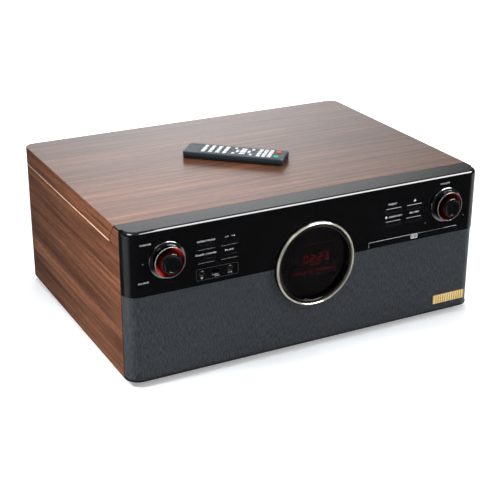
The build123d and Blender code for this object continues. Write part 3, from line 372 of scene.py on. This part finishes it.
def weave_cloth():
    """Woven grille cloth: warp and weft at the mesh's own pitch, read from the sheet's flat coordinates."""
    made = Finish("grille_weave", Specular_IOR_Level=0.5, Sheen_Weight=0.15, Sheen_Roughness=0.35)
    flat = made.axes("UV")
    turns = [made.math("MULTIPLY", flat[axis], math.pi / (weave_step * MM)) for axis in range(2)]
    warp, weft = made.math("COSINE", turns[0]), made.math("COSINE", turns[1])
    over = made.math("MULTIPLY", warp, weft)
    mottle = made.noise(made.stretched((800, 800, 160)), 1.0, 2.0, 0.5)
    tone = made.math("ADD", made.math("MULTIPLY", over, 0.18), mottle)
    made.feed("Base Color", made.ramp(tone, (0.22, (0.009, 0.01, 0.012)), (0.5, (0.032, 0.037, 0.044)),
                                      (0.78, (0.08, 0.092, 0.108))))
    made.feed("Roughness", made.range(mottle, 0.34, 0.5))
    threads = made.noise(made.stretched((900, 900, 900)), 1.0, 2.0)
    relief = made.math("ADD", made.math("MULTIPLY", over, 0.5), made.math("MULTIPLY", threads, 0.3))
    made.bump(relief, 0.5, 0.0003)
    return made.material


def glowing(name, colour, strength, base, scale=60.0):
    """Lit translucent plastic whose glow is uneven."""
    made = Finish(name, Roughness=0.3)
    patchy = made.noise(made.stretched((1, 1, 1)), scale, 3.0)
    made.feed("Base Color", made.ramp(patchy, (0.3, base), (0.7, tuple(c * 1.4 for c in base))))
    made.feed("Emission Color", made.ramp(patchy, (0.25, tuple(c * 0.7 for c in colour)), (0.7, colour)))
    made.shader.inputs["Emission Strength"].default_value = strength
    made.bump(patchy, 0.1, 0.0001)
    return made.material


def glow_and_reflection_ring(name, x, z, colour, strength, lit_from, *stops):
    """Dark red plastic that glows round its ring, brighter by the turn about its centre and towards its rim:
    partly the lamps behind it, partly painted reflection in its glossy dish.
    """
    made = Finish(name, Roughness=0.12)
    place = made.axes()
    turn = made.math("ARCTAN2", made.math("SUBTRACT", place[2], z * MM),
                     made.math("SUBTRACT", place[0], x * MM))
    lit = made.ramp(made.range(turn, 0.0, 1.0, -math.pi, math.pi), *((at, (v, v, v)) for at, v in stops))
    local = made.stretched((1, 0, 1), (-x * MM, 0, -z * MM))
    out = made.node("VectorMath", {"operation": "LENGTH"}, i0=local).outputs["Value"]
    rim = made.range(out, 0.06, 1.0, lit_from * MM, light_radius * MM)
    patchy = made.noise(made.stretched((1, 1, 1)), 300.0, 3.0)
    made.feed("Base Color", made.ramp(patchy, (0.3, (0.012, 0.001, 0.001)), (0.7, (0.024, 0.0015, 0.0015))))
    made.feed("Emission Color", made.mix(1.0, lit, colour, "MULTIPLY"))
    made.feed("Emission Strength", made.math("MULTIPLY", rim, strength))
    made.bump(patchy, 0.05, 0.0001)
    return made.material


def smoked_glass():
    made = Finish("smoked_glass", Transmission_Weight=1.0, IOR=1.45)
    place = made.stretched((1, 1, 1))
    tint = made.noise(place, 30.0, 2.0)
    made.feed("Base Color", made.ramp(tint, (0.3, (0.07, 0.055, 0.06)), (0.7, (0.085, 0.07, 0.075))))
    made.feed("Roughness", made.range(made.noise(place, 90.0, 2.0), 0.01, 0.04))
    return made.material


weave_step = 1.9
walnut_finish = walnut()
gloss_black = lacquer("gloss_black", (0.002, 0.002, 0.0023), 0.035)
key_black = lacquer("key_black", (0.0025, 0.0025, 0.003), 0.06)
satin_black = grained("satin_black", (0.012, 0.012, 0.013), (0.022, 0.022, 0.024), 0.42)
screen_black = grained("screen_black", (0.002, 0.002, 0.002), (0.004, 0.004, 0.004), 0.6)
rubber = grained("rubber", (0.012, 0.012, 0.012), (0.025, 0.025, 0.025), 0.75, 700.0, 0.3)
fibreboard = grained("fibreboard", (0.02, 0.018, 0.017), (0.04, 0.036, 0.033), 0.7, 500.0, 0.4)
paper = grained("paper_cone", (0.02, 0.02, 0.022), (0.05, 0.05, 0.052), 0.85, 350.0, 0.5)
white_plastic = grained("white_plastic", (0.7, 0.7, 0.69), (0.8, 0.8, 0.79), 0.4)
red_plastic = grained("red_plastic", (0.45, 0.02, 0.015), (0.6, 0.03, 0.02), 0.35)
board_green = grained("circuit_board", (0.01, 0.06, 0.025), (0.02, 0.11, 0.045), 0.45, 260.0, 0.4)
steel = brushed("steel", (0.42, 0.42, 0.43), (0.62, 0.62, 0.63), 0.3)
dark_metal = brushed("dark_metal", (0.09, 0.09, 0.09), (0.15, 0.15, 0.15), 0.3)
nickel = brushed("nickel", (0.55, 0.54, 0.5), (0.75, 0.74, 0.7), 0.2)
aluminium = brushed("aluminium", (0.6, 0.61, 0.62), (0.8, 0.81, 0.82), 0.28)
# A light grey, half-metal finish for the drawer's painted edge highlights.
painted_edge_highlight = brushed("painted_edge_highlight", (0.16, 0.16, 0.16), (0.24, 0.24, 0.24), 0.3, metallic=0.3)
ink = grained("white_ink", (0.72, 0.72, 0.72), (0.85, 0.85, 0.85), 0.55)
dim_ink = grained("grey_ink", (0.055, 0.055, 0.057), (0.08, 0.08, 0.083), 0.5)
digit_red = glowing("digit_red", (1.0, 0.04, 0.045), 1.5, (0.1, 0.005, 0.005), 200.0)
glass = smoked_glass()
gold = turned_metal("gold", (0, 0, display_z), (0.84, 0.78, 0.62), (0.96, 0.92, 0.78), 0.15, 0.4, 0.03,
                    Metallic=0.7)
badge_gold = brushed("badge_gold", (0.88, 0.6, 0.22), (1.0, 0.78, 0.38), 0.35, (1500, 1500, 30), metallic=0.1)
badge_dark = brushed("badge_dark", (0.3, 0.15, 0.03), (0.4, 0.22, 0.05), 0.4, (1500, 1500, 30), metallic=0.3)
weave = weave_cloth()


def painted(material, *names):
    """Gives CAD nodes that stay on show their procedural material."""
    for name in names:
        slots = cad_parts[name].data.materials
        slots.clear()
        slots.append(material)


painted(walnut_finish, "left_side_panel", "right_side_panel", "lid_panel")
painted(grained("base_stain", (0.01, 0.007, 0.006), (0.02, 0.013, 0.01), 0.5), "base_panel")
painted(fibreboard, "back_panel", "speaker_baffle")
painted(gloss_black, "front_fascia")
painted(satin_black, "deck_tray", "tonearm_base", "tonearm_yoke", "cd_tray", "cd_chassis",
        "disc_hub", "pickup_sled", "rear_terminals", "mains_inlet")
painted(screen_black, "display_module")
painted(steel, "case_screws", "hinge_leaves_fixed", "hinge_leaves_lid", "hinge_pins", "spindle",
        "motor_pulley", "platter_motor", "speaker_drivers", "power_transformer")
painted(rubber, "drive_belt")
painted(white_plastic, "drive_gear")
painted(board_green, "control_board", "main_board")
painted(paper, "speaker_cones")
painted(aluminium, "tonearm_tube", "counterweight", "cue_lever", "speed_switch")
painted(dark_metal, "headshell")
painted(turned_metal("platter_metal", (spindle_x, spindle_y, 0), (0.5, 0.51, 0.52), (0.7, 0.71, 0.72),
                     0.25, 0.6, 0.15, (1, 1, 0)), "platter")
painted(turned_metal("mat_rubber", (spindle_x, spindle_y, 0), (0.01, 0.01, 0.011), (0.022, 0.022, 0.023),
                     0.5, 1.5, 0.4, (1, 1, 0), Metallic=0.0), "platter_mat")
painted(satin_black, "front_sockets")

# --- knobs --------------------------------------------------------------------------------------------------
# How bright each knob's ring is painted, by the share of a turn from its left side: partly the glow of the
# lamps behind it, partly painted reflection.
glow_and_reflection_stops = {
    "source": ((0.0, 0.35), (0.06, 0.8), (0.12, 1.0), (0.2, 0.04), (0.5, 0.0), (0.585, 0.35), (0.655, 0.9),
               (0.73, 0.12), (0.83, 0.2), (0.92, 0.75)),
    "volume": ((0.0, 0.4), (0.1, 0.45), (0.2, 0.05), (0.5, 0.0), (0.62, 0.2), (0.75, 0.3), (0.88, 0.1),
               (1.0, 0.4)),
}
lit_from = {"source": 14.0, "volume": 16.4}
for side, name, body in ((-1, "source", "source_knob"), (1, "volume", "volume_knob")):
    place = facing(knob_x[side], knob_z)
    centre = (knob_x[side], 0, knob_z)
    chrome = turned_metal(f"black_chrome_{name}", centre, (0.035, 0.036, 0.04), (0.055, 0.056, 0.06),
                          0.08, 0.4, 0.03)
    satin = turned_metal(f"satin_chrome_{name}", centre, (0.13, 0.14, 0.145), (0.2, 0.21, 0.215),
                         0.16, 0.4, 0.05)
    # The lip's chrome is tinted pink: painted reflection of the red ring glow beside it.
    bright = turned_metal(f"bright_chrome_{name}", centre, (0.26, 0.23, 0.23), (0.38, 0.35, 0.35),
                          0.2, 0.4, 0.03, Metallic=0.5)
    bm = bmesh.new()
    lathe(bm, softened([(18.6, 0), (18.6, 9.2), (19.2, 9.4), (20.1, 3.2), (20.1, 0)], 0.5), place)
    piece(f"{name}_bezel", bm, chrome, "cabinet", ("knob_bezels",) if side < 0 else ())
    bm = bmesh.new()
    flange = [(20.0, 0), (20.0, 3.3), (22.7, 1.9), (bezel_radius, 1.2), (bezel_radius, 0)]
    lathe(bm, softened(flange, 0.35), place)
    piece(f"{name}_bezel_flange", bm, satin, "cabinet")
    bm = bmesh.new()
    lathe(bm, softened([(18.45, 8.6), (18.45, 10.1), (18.8, 10.4), (19.2, 10.1), (19.25, 8.6)], 0.25), place)
    piece(f"{name}_bezel_lip", bm, bright, "cabinet")
    bm = bmesh.new()
    funnel = [(13.3, -3), (13.3, 0.6), (14.4, 1.0), (17.2, 5.4), (light_radius, 9.0), (light_radius, -3)]
    lathe(bm, softened(funnel, 0.5), place)
    ring_glow = glow_and_reflection_ring(f"red_light_{name}", knob_x[side], knob_z, (1.0, 0.06, 0.04), 0.7,
                          lit_from[name], *glow_and_reflection_stops[name])
    piece(f"{name}_light_ring", bm, ring_glow, "cabinet", ("light_rings",) if side < 0 else ())
    bm = bmesh.new()
    lathe(bm, softened([(0, 15.0), (9.4, 15.2), (10.2, 16.0), (12.0, 15.6), (12.55, 14.4), (12.75, 0.5),
                        (12.75, -1), (3, -1), (3, -15), (0, -15)], 0.6), place)
    piece(f"{name}_knob_cap", bm, key_black, body, (body,))

# --- keys ---------------------------------------------------------------------------------------------------
keys = {
    (-1, 1, 0): "repeat_button", (-1, 0, 0): "skip_button",
    (-1, 1, 1): "folder_button", (-1, 0, 1): "play_button",
    (1, 0, 0): "preset_button", (1, 1, 0): "eject_button",
    (1, 0, 1): "menu_button", (1, 1, 1): "record_button",
}
ledge = 0.9
for (group, column, row), body in keys.items():
    place = facing(key_columns[group][column], key_rows[row])
    bm = bmesh.new()
    key_face = rounded(key_width - 0.2, key_height - 0.2, 1.2)
    if group > 0:
        slab(bm, key_face, -3.0, key_proud[group], place, 0.9)
    else:
        low_ledge = rounded(key_width - 1.4, ledge, 0.4, 0, 0.55 - key_height / 2)
        side_ledge = rounded(ledge, key_height - 2.0, 0.4, key_width / 2 - 0.6, 0.3)
        slab(bm, key_face, -3.0, 0.06, place, 0.05)
        slab(bm, low_ledge, 0, key_proud[group], place, 0.28)
        slab(bm, side_ledge, 0, key_proud[group], place, 0.28)
    slab(bm, rounded(key_width + 3, key_height + 3, 1.0), -4.7, -3.2, place)
    piece(body.replace("button", "key"), bm, key_black, body, (body,))

# --- display ------------------------------------------------------------------------------------------------
place = facing(0, display_z)
bm = bmesh.new()
lathe(bm, softened([(52.7, -16), (52.7, 5.2), (53.2, 5.95), (53.8, 5.95), (54.1, 5.4), (54.5, 5.75),
                    (55.0, 5.2), (55.3, 4.0), (55.3, -16)], 0.3), place, 192)
piece("display_bezel", bm, gold, "cabinet", ("display_ring",))
bm = bmesh.new()
lathe(bm, softened([(55.25, -16), (55.25, 3.4), (55.6, 3.2), (display_radius, 2.0), (display_radius, -16)],
                   0.3), place, 192)
piece("display_surround", bm, gloss_black, "cabinet")
bm = bmesh.new()
lathe(bm, softened([(display_opening, -16), (display_opening, 3.9), (49.2, 4.3), (51.5, 1.8), (52.45, 1.4),
                    (52.45, -16)], 0.4), place, 192)
piece("display_slope", bm, gloss_black, "cabinet")
bm = bmesh.new()
pane = display_opening - 0.05
lathe(bm, softened([(0, -1), (pane, -1), (pane, -3), (0, -3)], 0.3), place)
piece("display_glass", bm, glass, "cabinet", ("display_window",))

SEGMENTS = {"0": "abcdef", "1": "bc", "2": "abged", "3": "abgcd", "4": "fgbc", "5": "afgcd"}
SEGMENT_PLACES = {"a": (0, 1, 0), "g": (0, 0, 0), "d": (0, -1, 0), "f": (-1, 0.5, 1), "b": (1, 0.5, 1),
                  "e": (-1, -0.5, 1), "c": (1, -0.5, 1)}
figure_relief = 0.12


def digit(bm, figure, x, z, place, high=10.4, thick=1.1):
    """A seven-segment figure."""
    half_high, half_wide = high / 2 - thick / 2, high * 0.25
    for segment in SEGMENTS[figure]:
        sx, sz, turned = SEGMENT_PLACES[segment]
        long = (half_high if turned else 2 * half_wide) / 2 - 0.15
        tip = thick / 2
        shape = [(-long, 0), (-long + tip, -tip), (long - tip, -tip),
                 (long, 0), (long - tip, tip), (-long + tip, tip)]
        if turned:
            shape = [(-b, a) for a, b in shape]
        outline = [(x + sx * half_wide + a, z + sz * half_high + b) for a, b in shape]
        slab(bm, outline, 0, figure_relief, place)


face = facing(0, display_z, window_y + 2.35)
bm = bmesh.new()
for figure, x in zip("0223", (-10.6, -1.8, 9.6, 18.4)):
    digit(bm, figure, x, 5.2, face)
for dot_z in (3.4, 7.2):
    slab(bm, circle(0.6, 3.9, dot_z, 12), 0, figure_relief, face)
lettering(bm, "TUNER", 2.0, -3.2, 14, 2.8, face)
lettering(bm, "TRACK 05  TIME 02:23", 1.8, -12.3, 64, 3.6, face)
piece("display_figures", bm, digit_red, "cabinet")

# --- printed marks on the fascia ----------------------------------------------------------------------------
print_place, ink_relief = facing(0, 0), 0.06
bm = bmesh.new()
for text, x, z, across in (
    ("REPEAT MODE", -148.5, 175.1, 23), ("|<  >|", -117.2, 175.2, 12),
    ("FOLDER / CHAPTER", -148.7, 158.2, 27), ("PLAY", -117.8, 158.2, 12),
    ("PRESET", 113.6, 175.6, 13), ("MEMORY", 118.6, 158.3, 20), ("RECORD", 147.2, 158.8, 14.5),
    ("VOLUME", 193.1, 190.4, 15), ("POWER", -225.2, 184.2, 14), ("SOURCE", -229.1, 137.0, 13.5),
):
    lettering(bm, text, x, z, across, 2.1, print_place)
slab(bm, [(145.2, 173.6), (149.4, 173.6), (147.3, 176.8)], 0, ink_relief, print_place)
slab(bm, circle(1.5, 104.4, 158.4, 16), 0, ink_relief, print_place)


def outline_strip(bm, outline, thickness, place, low=0.0, high=0.05):
    """A closed line of even thickness along an outline."""
    count = len(outline)
    rings = []
    for grow in (-thickness / 2, thickness / 2):
        ring = []
        for i in range(count):
            before, after = Vector(outline[i - 1]), Vector(outline[(i + 1) % count])
            along = (after - before).normalized()
            ring.append((outline[i][0] + along.y * grow, outline[i][1] - along.x * grow))
        rings.append(ring)
    levels = [(rings[0], low), (rings[0], high), (rings[1], high), (rings[1], low)]
    walls = [[bm.verts.new(place @ Vector((x, y, z))) for x, y in ring] for ring, z in levels]
    for a, b in zip(walls, walls[1:] + walls[:1]):
        for i in range(count):
            j = (i + 1) % count
            bm.faces.new((a[i], a[j], b[j], b[i]))


outline_strip(bm, circle(1.1, headphone_x, 128.4, 16), 0.5, print_place)
for text, x, z, across in (
    ("USB", usb_x - 0.6, 129.8, 7.5), ("5V IN", usb_x + 1.4, 127.7, 6.5), ("LINE", line_in_x, 128.9, 6),
):
    lettering(bm, text, x, z, across, 1.3, print_place)
piece("printed_marks", bm, ink, "cabinet")
bm = bmesh.new()
outline_strip(bm, rounded(55.0, 14.7, 2.2, -134.0, 132.7), 0.35, print_place)
for x, z in ((-229.3, 160.6), (-210.9, 178.7), (165.5, 140.5), (226.3, 141.2)):
    slab(bm, circle(1.0, x, z, 16), 0, ink_relief, print_place)
piece("printed_guides", bm, dim_ink, "cabinet")

# --- sockets ------------------------------------------------------------------------------------------------
bm = bmesh.new()
bushing = [(1.85, -13), (1.85, -0.1), (2.3, 0.2), (3.6, 0.2), (3.95, -0.3), (3.95, -13)]
for x in (headphone_x, line_in_x):
    lathe(bm, softened(bushing, 0.2), facing(x, jack_z), 48)
piece("jack_bushings", bm, dark_metal, "cabinet")

# --- drawer -------------------------------------------------------------------------------------------------
place = facing(drawer_x, (drawer_bottom + drawer_top) / 2)
bm = bmesh.new()
slab(bm, rounded(drawer_width, drawer_top - drawer_bottom, 0.7), -5, 1.0, place, 0.55)
piece("drawer_face", bm, key_black, "drawer", ("drawer_front",))
# Light grey strips along the drawer face's top edge and up its left end: a painted highlight, the glint of
# those edges.
bm = bmesh.new()
drawer_height = drawer_top - drawer_bottom
slab(bm, rounded(drawer_width - 3.0, 0.5, 0.2, 1.0, 4.15), 0.9, 1.12, place, 0.08)
slab(bm, rounded(0.8, drawer_height - 2.4, 0.3, 0.6 - drawer_width / 2, 0.6), 0.6, 1.08, place, 0.08)
piece("drawer_bright_line", bm, painted_edge_highlight, "drawer")
bm = bmesh.new()
outline_strip(bm, rounded(9.6, 4.8, 0.8, 1.0, 1.0), 0.7, place, 1.0, 1.06)
outline_strip(bm, circle(1.4, -0.9, 1.0, 20), 0.7, place, 1.0, 1.06)
lettering(bm, "CD", 3.0, 1.0, 3.8, 2.8, place @ Matrix.Translation((0, 0, 1.0)))
piece("drawer_mark", bm, ink, "drawer")

# --- grille cloth -------------------------------------------------------------------------------------------
cloth_radius = front_corner - 1.0
straight = width / 2 - front_corner
corner_length = math.pi / 2 * cloth_radius
tail = front_y + front_corner


def cloth_path(distance):
    """A point and its outward direction on the cloth, by distance along it from its middle."""
    side = 1 if distance > 0 else -1
    run = abs(distance)
    if run <= straight:
        return (distance, front_y + 1.0), (0, -1)
    if run <= straight + corner_length:
        a = (run - straight) / cloth_radius
        normal = (side * math.sin(a), -math.cos(a))
        return (side * straight + normal[0] * cloth_radius, tail + normal[1] * cloth_radius), normal
    return (side * (width / 2 - 1.0), tail + run - straight - corner_length), (side, 0)


half_run = straight + corner_length + (wrap_y - tail)
columns = round(2 * half_run / weave_step)
rows = round((fascia_z - base_z - lip) / weave_step)
weave_relief = 0.22
bm = bmesh.new()
uv = bm.loops.layers.uv.new("flat")
grid = []
for column in range(columns + 1):
    distance = -half_run + 2 * half_run * column / columns
    (x, y), (nx, ny) = cloth_path(distance)
    line = []
    for row in range(rows + 1):
        z = base_z + lip + (fascia_z - base_z - lip) * row / rows
        lift = weave_relief * (1 if (column + row) % 2 else -1)
        line.append((bm.verts.new(Vector((x + nx * lift, y + ny * lift, z)) * MM), distance * MM, z * MM))
    grid.append(line)
hidden_hole = display_radius - 2.5
for near, far in zip(grid, grid[1:]):
    for row in range(rows):
        corners = (near[row], far[row], far[row + 1], near[row + 1])
        if all(math.hypot(c[1] / MM, c[2] / MM - display_z) < hidden_hole for c in corners):
            continue
        made = bm.faces.new([c[0] for c in corners])
        for loop, c in zip(made.loops, corners):
            loop[uv].uv = (c[1], c[2])
bmesh.ops.delete(bm, geom=[v for v in bm.verts if not v.link_faces], context="VERTS")
cloth = piece("grille_fabric", bm, weave, "cabinet", ("grille_cloth",), 180)

# --- badge --------------------------------------------------------------------------------------------------
place = facing(badge_x, badge_z, front_y + 1.0)
bm = bmesh.new()
slab(bm, rounded(badge_width, badge_height, 0.6), 0, 1.0, place, 0.3)
piece("badge", bm, badge_dark, "cabinet", ("badge_plate",))
flutes, flute_gap = 13, 0.9
flute_pitch = (badge_width - 2.4) / flutes
bm = bmesh.new()
for flute in range(flutes):
    x = (flute + 0.5 - flutes / 2) * flute_pitch
    slab(bm, rounded(flute_pitch - flute_gap, badge_height - 2.6, 0.4, x, 0, 3), 0.9, 1.4, place, 0.3)
outline_strip(bm, rounded(badge_width - 1.6, badge_height - 1.6, 0.5), 0.7, place, 0.9, 1.3)
piece("badge_flutes", bm, badge_gold, "cabinet")

# --- remote control -----------------------------------------------------------------------------------------
remote_shell = grained("remote_shell", (0.02, 0.031, 0.042), (0.03, 0.044, 0.057), 0.4, 1400.0, 0.2)
remote_under = grained("remote_under", (0.008, 0.009, 0.011), (0.014, 0.016, 0.019), 0.45)
key_white = grained("key_white", (0.9, 0.92, 0.93), (0.96, 0.97, 0.98), 0.28)
key_red = grained("key_red", (0.75, 0.06, 0.03), (0.9, 0.09, 0.05), 0.4)
key_green = grained("key_green", (0.02, 0.42, 0.2), (0.03, 0.55, 0.28), 0.4)
case_outline = rounded(remote_length, remote_width, 5, steps=8)
bm = bmesh.new()
slab(bm, case_outline, split_height + 0.2, upper_height, remote_place(0), 1.6, 5)
piece("remote_top_case", bm, remote_shell, "remote", ("remote_upper_case",))
bm = bmesh.new()
slab(bm, [(x, -y) for x, y in case_outline], -split_height, 0,
     remote_place(0) @ Matrix.Rotation(math.pi, 4, "X"), 1.4, 4)
piece("remote_bottom_case", bm, remote_under, "remote", ("remote_lower_case",))
bm = bmesh.new()
slab(bm, rounded(3.2, 16, 1.2, remote_length / 2 - 1.4, 0), 2.6, 8.0, remote_place(0), 0.6)
piece("remote_window", bm, smoked_glass(), "remote")
# Key centres along and across the remote, with each key's length and width.
long_keys = [(-42.5 + 9.8 * column, row, 5.2, 7.8) for column in range(4) for row in (-9.4, 0, 9.4)]
block_keys = [(33 + 7.4 * column, row, 5.4, 5.6) for column in range(3) for row in (-11.6, -3.9, 3.9, 11.6)]
cross_keys = [(10.4, 0, 8.4, 8.4), (2.4, 0, 3.6, 8), (18.4, 0, 3.6, 8), (10.4, 9, 8, 3.8), (10.4, -9, 8, 3.8)]
small_keys = [(along, row, 4.0, 4.6) for along in (-1.6, 22.4) for row in (-10, 10)]
key_bottom, key_top = upper_height - key_sink, upper_height + key_rise
bm = bmesh.new()
for along, sideways, long, broad in long_keys + block_keys + cross_keys + small_keys:
    slab(bm, rounded(long, broad, 1.2, along, sideways), key_bottom, key_top, remote_place(0), 0.45)
piece("remote_white_keys", bm, key_white, "keypad", ("remote_keypad",))
for name, sideways, material in (("red", 9.5, key_red), ("green", -9.5, key_green)):
    bm = bmesh.new()
    slab(bm, circle(3.6, 57, sideways), key_bottom, key_top, remote_place(0), 0.7, 4)
    piece(f"remote_{name}_key", bm, material, "keypad")

# --- turntable ----------------------------------------------------------------------------------------------
bm = bmesh.new()
for text, y in (("78", 10), ("45", 0), ("33", -10)):
    lettering(bm, text, switch_x + 11, switch_y + y, 5.5, 4.0, upright(0, 0, deck_z))
lettering(bm, "SPEED", switch_x, switch_y + 22, 16, 3.2, upright(0, 0, deck_z))
outline_strip(bm, rounded(9.0, 33.0, 4.4, switch_x, switch_y), 0.5, upright(0, 0, deck_z))
outline_strip(bm, circle(platter_radius + 5.0, spindle_x, spindle_y, 96), 0.6, upright(0, 0, deck_z))
piece("deck_print", bm, ink, "cabinet")
bm = bmesh.new()
strobe_dots = 72
for dot in range(strobe_dots):
    turn = Matrix.Rotation(2 * math.pi * dot / strobe_dots, 4, "Z")
    rim = upright(spindle_x, spindle_y, platter_z + 4.0) @ turn @ Matrix.Translation((0, -platter_radius, 0))
    slab(bm, rounded(3.2, 2.4, 0.6, steps=2), -0.3, 0.06, rim @ Matrix.Rotation(math.pi / 2, 4, "X"))
piece("platter_strobe_dots", bm, dark_metal, "platter")
bm = bmesh.new()
lathe(bm, softened([(0, 0.06), (20, 0.06), (20.6, 0.5), (22.6, 0.5), (23.2, 0.06), (23.2, -0.4),
                    (3.7, -0.4), (0, -0.4)], 0.2), upright(spindle_x, spindle_y, record_z))
piece("mat_label_ring", bm, rubber, "platter")

# --- back ---------------------------------------------------------------------------------------------------
jack_radius, plate_face = 4.1, rear_y + 1.6
sockets_colours = {8.0: white_plastic, -8.0: red_plastic}
sleeve = [(4.16, 1.5), (4.16, 6.3), (4.0, 6.46), (2.5, 6.46), (2.5, 6.42), (3.9, 6.42), (4.12, 6.3),
          (4.12, 1.5)]
collar = softened([(jack_radius, -0.2), (5.6, -0.2), (5.6, 1.6), (jack_radius, 1.6)], 0.4)
sleeves = bmesh.new()
for row, plastic in sockets_colours.items():
    bm = bmesh.new()
    for column in (-28.0, -10.0, 10.0, 28.0):
        place = backing(terminal_x + column, terminal_z + row, plate_face)
        lathe(bm, collar, place, 48)
        lathe(sleeves, sleeve, place, 48)
    piece("upper_jack_rings" if row > 0 else "lower_jack_rings", bm, plastic, "cabinet")
for x in (-4.0, 4.0):
    lathe(sleeves, softened([(0, -0.5), (1.27, -0.5), (1.27, 5.4), (0.8, 6.06), (0, 6.06)], 0.3),
          backing(inlet_x + x, inlet_z, rear_y - 13.0), 32)
piece("jack_sleeves_and_pins", sleeves, nickel, "cabinet")
bm = bmesh.new()
for text, x, z, across in (
    ("L", -40, 8, 2.2), ("R", -40, -8, 2.4), ("LINE OUT", -19, 17.5, 20), ("PHONO / LINE IN", 19, 17.5, 32),
):
    lettering(bm, text, x, z, across, 2.6, backing(terminal_x, terminal_z, plate_face))
lettering(bm, "AC IN", 0, 14.0, 13, 3.0, backing(inlet_x, inlet_z))
piece("rear_print", bm, ink, "cabinet")

# --- feet ---------------------------------------------------------------------------------------------------
bm = bmesh.new()
for x in (-205, 205):
    for y in (front_y + 40, rear_y - 40):
        lathe(bm, softened([(3.3, 0), (9.0, 0), (10.6, 8), (1.7, 8), (1.7, 3.5), (3.3, 3.5)], 0.8),
              upright(x, y, 0), 48)
piece("feet", bm, rubber, "cabinet", ("rubber_feet",))

# --- studio -------------------------------------------------------------------------------------------------
floor_size, floor_steps = 9.0, 24
bm = bmesh.new()
bmesh.ops.create_grid(bm, x_segments=floor_steps, y_segments=floor_steps, size=floor_size)
floor_mesh = bpy.data.meshes.new("floor")
bm.to_mesh(floor_mesh)
bm.free()
floor = bpy.data.objects.new("floor", floor_mesh)
bpy.context.scene.collection.objects.link(floor)
sweep = Finish("studio_paper", Roughness=0.9, Specular_IOR_Level=0.0, Emission_Strength=1.0)
grain = sweep.noise(sweep.stretched((1, 1, 1)), 3.0, 2.0)
sweep.feed("Base Color", sweep.ramp(grain, (0.3, (0.83, 0.87, 0.9)), (0.7, (0.85, 0.89, 0.92))))
reach = sweep.node("VectorMath", {"operation": "LENGTH"}, i0=sweep.coords.outputs["Object"]).outputs["Value"]
# The floor's glow is weak within about 0.4 m of the product and full beyond a metre: painted shade round the
# product, under its cast shadows.
glow = sweep.range(reach, 0.32, 1.1, 0.42, 1.0, smooth=True)
sweep.feed("Emission Color", sweep.node("CombineColor", i0=glow, i1=glow, i2=glow).outputs[0])
floor_mesh.materials.append(sweep.material)
floor.visible_glossy = False

# The room that the gloss surfaces mirror: a bright window behind, a lit ceiling, floor and side walls.
world = bpy.data.worlds.new("studio")
bpy.context.scene.world = world
world.use_nodes = True
room = Nodes(world.node_tree)
heading = room.axes("Generated")
window = Vector((0.40, 0.893, 0.205)).normalized()
direction = room.coords.outputs["Generated"]
towards = room.node("VectorMath", {"operation": "DOT_PRODUCT"}, i0=direction, i1=window).outputs["Value"]
lights_seen = (
    room.range(room.math("ARCCOSINE", towards), 2.9, 0.0, 0.0, 0.29),
    room.range(towards, 0.0, 0.15, 0.8, 0.93, smooth=True),
    room.range(heading[2], 0.0, 0.5, 0.55, 0.8, smooth=True),
    room.range(heading[2], 0.0, 1.0, -0.7, -0.92, smooth=True),
    room.math("MULTIPLY", room.range(room.math("ABSOLUTE", heading[0]), 0.0, 0.8, 0.72, 0.95, smooth=True),
              room.math("LESS_THAN", heading[2], 0.0)),
)
level = 0.04
for seen in lights_seen:
    level = room.math("ADD", seen, level)
tint = [room.math("MULTIPLY", level, share) for share in (0.99, 1.0, 1.015)]
cool = room.node("CombineColor", i0=tint[0], i1=tint[1], i2=tint[2]).outputs[0]
room.tree.links.new(cool, world.node_tree.nodes["Background"].inputs[0])


def softbox(name, location, target, size, power, diffuse=True, glossy=True):
    data = bpy.data.lights.new(name, "AREA")
    data.shape = "RECTANGLE"
    data.size, data.size_y = size
    data.energy = power
    lamp = bpy.data.objects.new(name, data)
    bpy.context.scene.collection.objects.link(lamp)
    lamp.location = location
    lamp.rotation_mode = "QUATERNION"
    lamp.rotation_quaternion = (Vector(target) - Vector(location)).to_track_quat("-Z", "Y")
    lamp.visible_diffuse, lamp.visible_glossy = diffuse, glossy
    return lamp


# Some panels only shine in the gloss, and the others only light the surfaces.
softbox("ceiling_panel", (1.35, -0.65, 1.65), (1.35, -0.65, 0.0), (2.0, 1.3), 150.0, diffuse=False)
corner = softbox("corner_panel", (-0.9, -0.35, 1.45), (-0.25, -0.18, 0.2), (0.6, 0.6), 20.0, diffuse=False)
key_light = softbox("left_key", (-0.72, -0.11, 0.72), (-0.16, -0.2, 0.2), (0.36, 0.36), 1.5, glossy=False)
key_light.data.spread = 1.1
softbox("right_fill", (1.6, -1.15, 0.9), (0.1, -0.2, 0.1), (1.0, 1.0), 18.0, glossy=False)
overhead = softbox("floor_light", (0.15, 0.5, 1.5), (0.05, -0.1, 0.0), (1.2, 1.2), 22.0, glossy=False)
for lamp, lit in ((overhead, floor), (corner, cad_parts["front_fascia"])):
    lamp.light_linking.receiver_collection = bpy.data.collections.new(f"lit_by_{lamp.name}")
    lamp.light_linking.receiver_collection.objects.link(lit)

scene = bpy.context.scene
scene.view_settings.view_transform = "Standard"
camera_data = bpy.data.cameras.new("camera")
camera_data.lens = 85.623
camera_data.sensor_width = 36.0
camera = bpy.data.objects.new("camera", camera_data)
scene.collection.objects.link(camera)
camera_place = (-0.70040, -1.34116, 0.71306)
yaw, pitch, roll = -0.484023, 0.404423, 0.005032
looking = Vector((-math.sin(yaw) * math.cos(pitch), math.cos(yaw) * math.cos(pitch), -math.sin(pitch)))
right = looking.cross(Vector((0, 0, 1))).normalized()
up = right.cross(looking)
leaned_right = right * math.cos(roll) + up * math.sin(roll)
leaned_up = up * math.cos(roll) - right * math.sin(roll)
turned = Matrix((leaned_right, leaned_up, -looking)).transposed().to_4x4()
camera.matrix_world = Matrix.Translation(camera_place) @ turned
camera_data.clip_start, camera_data.clip_end = 0.05, 50.0
scene.camera = camera
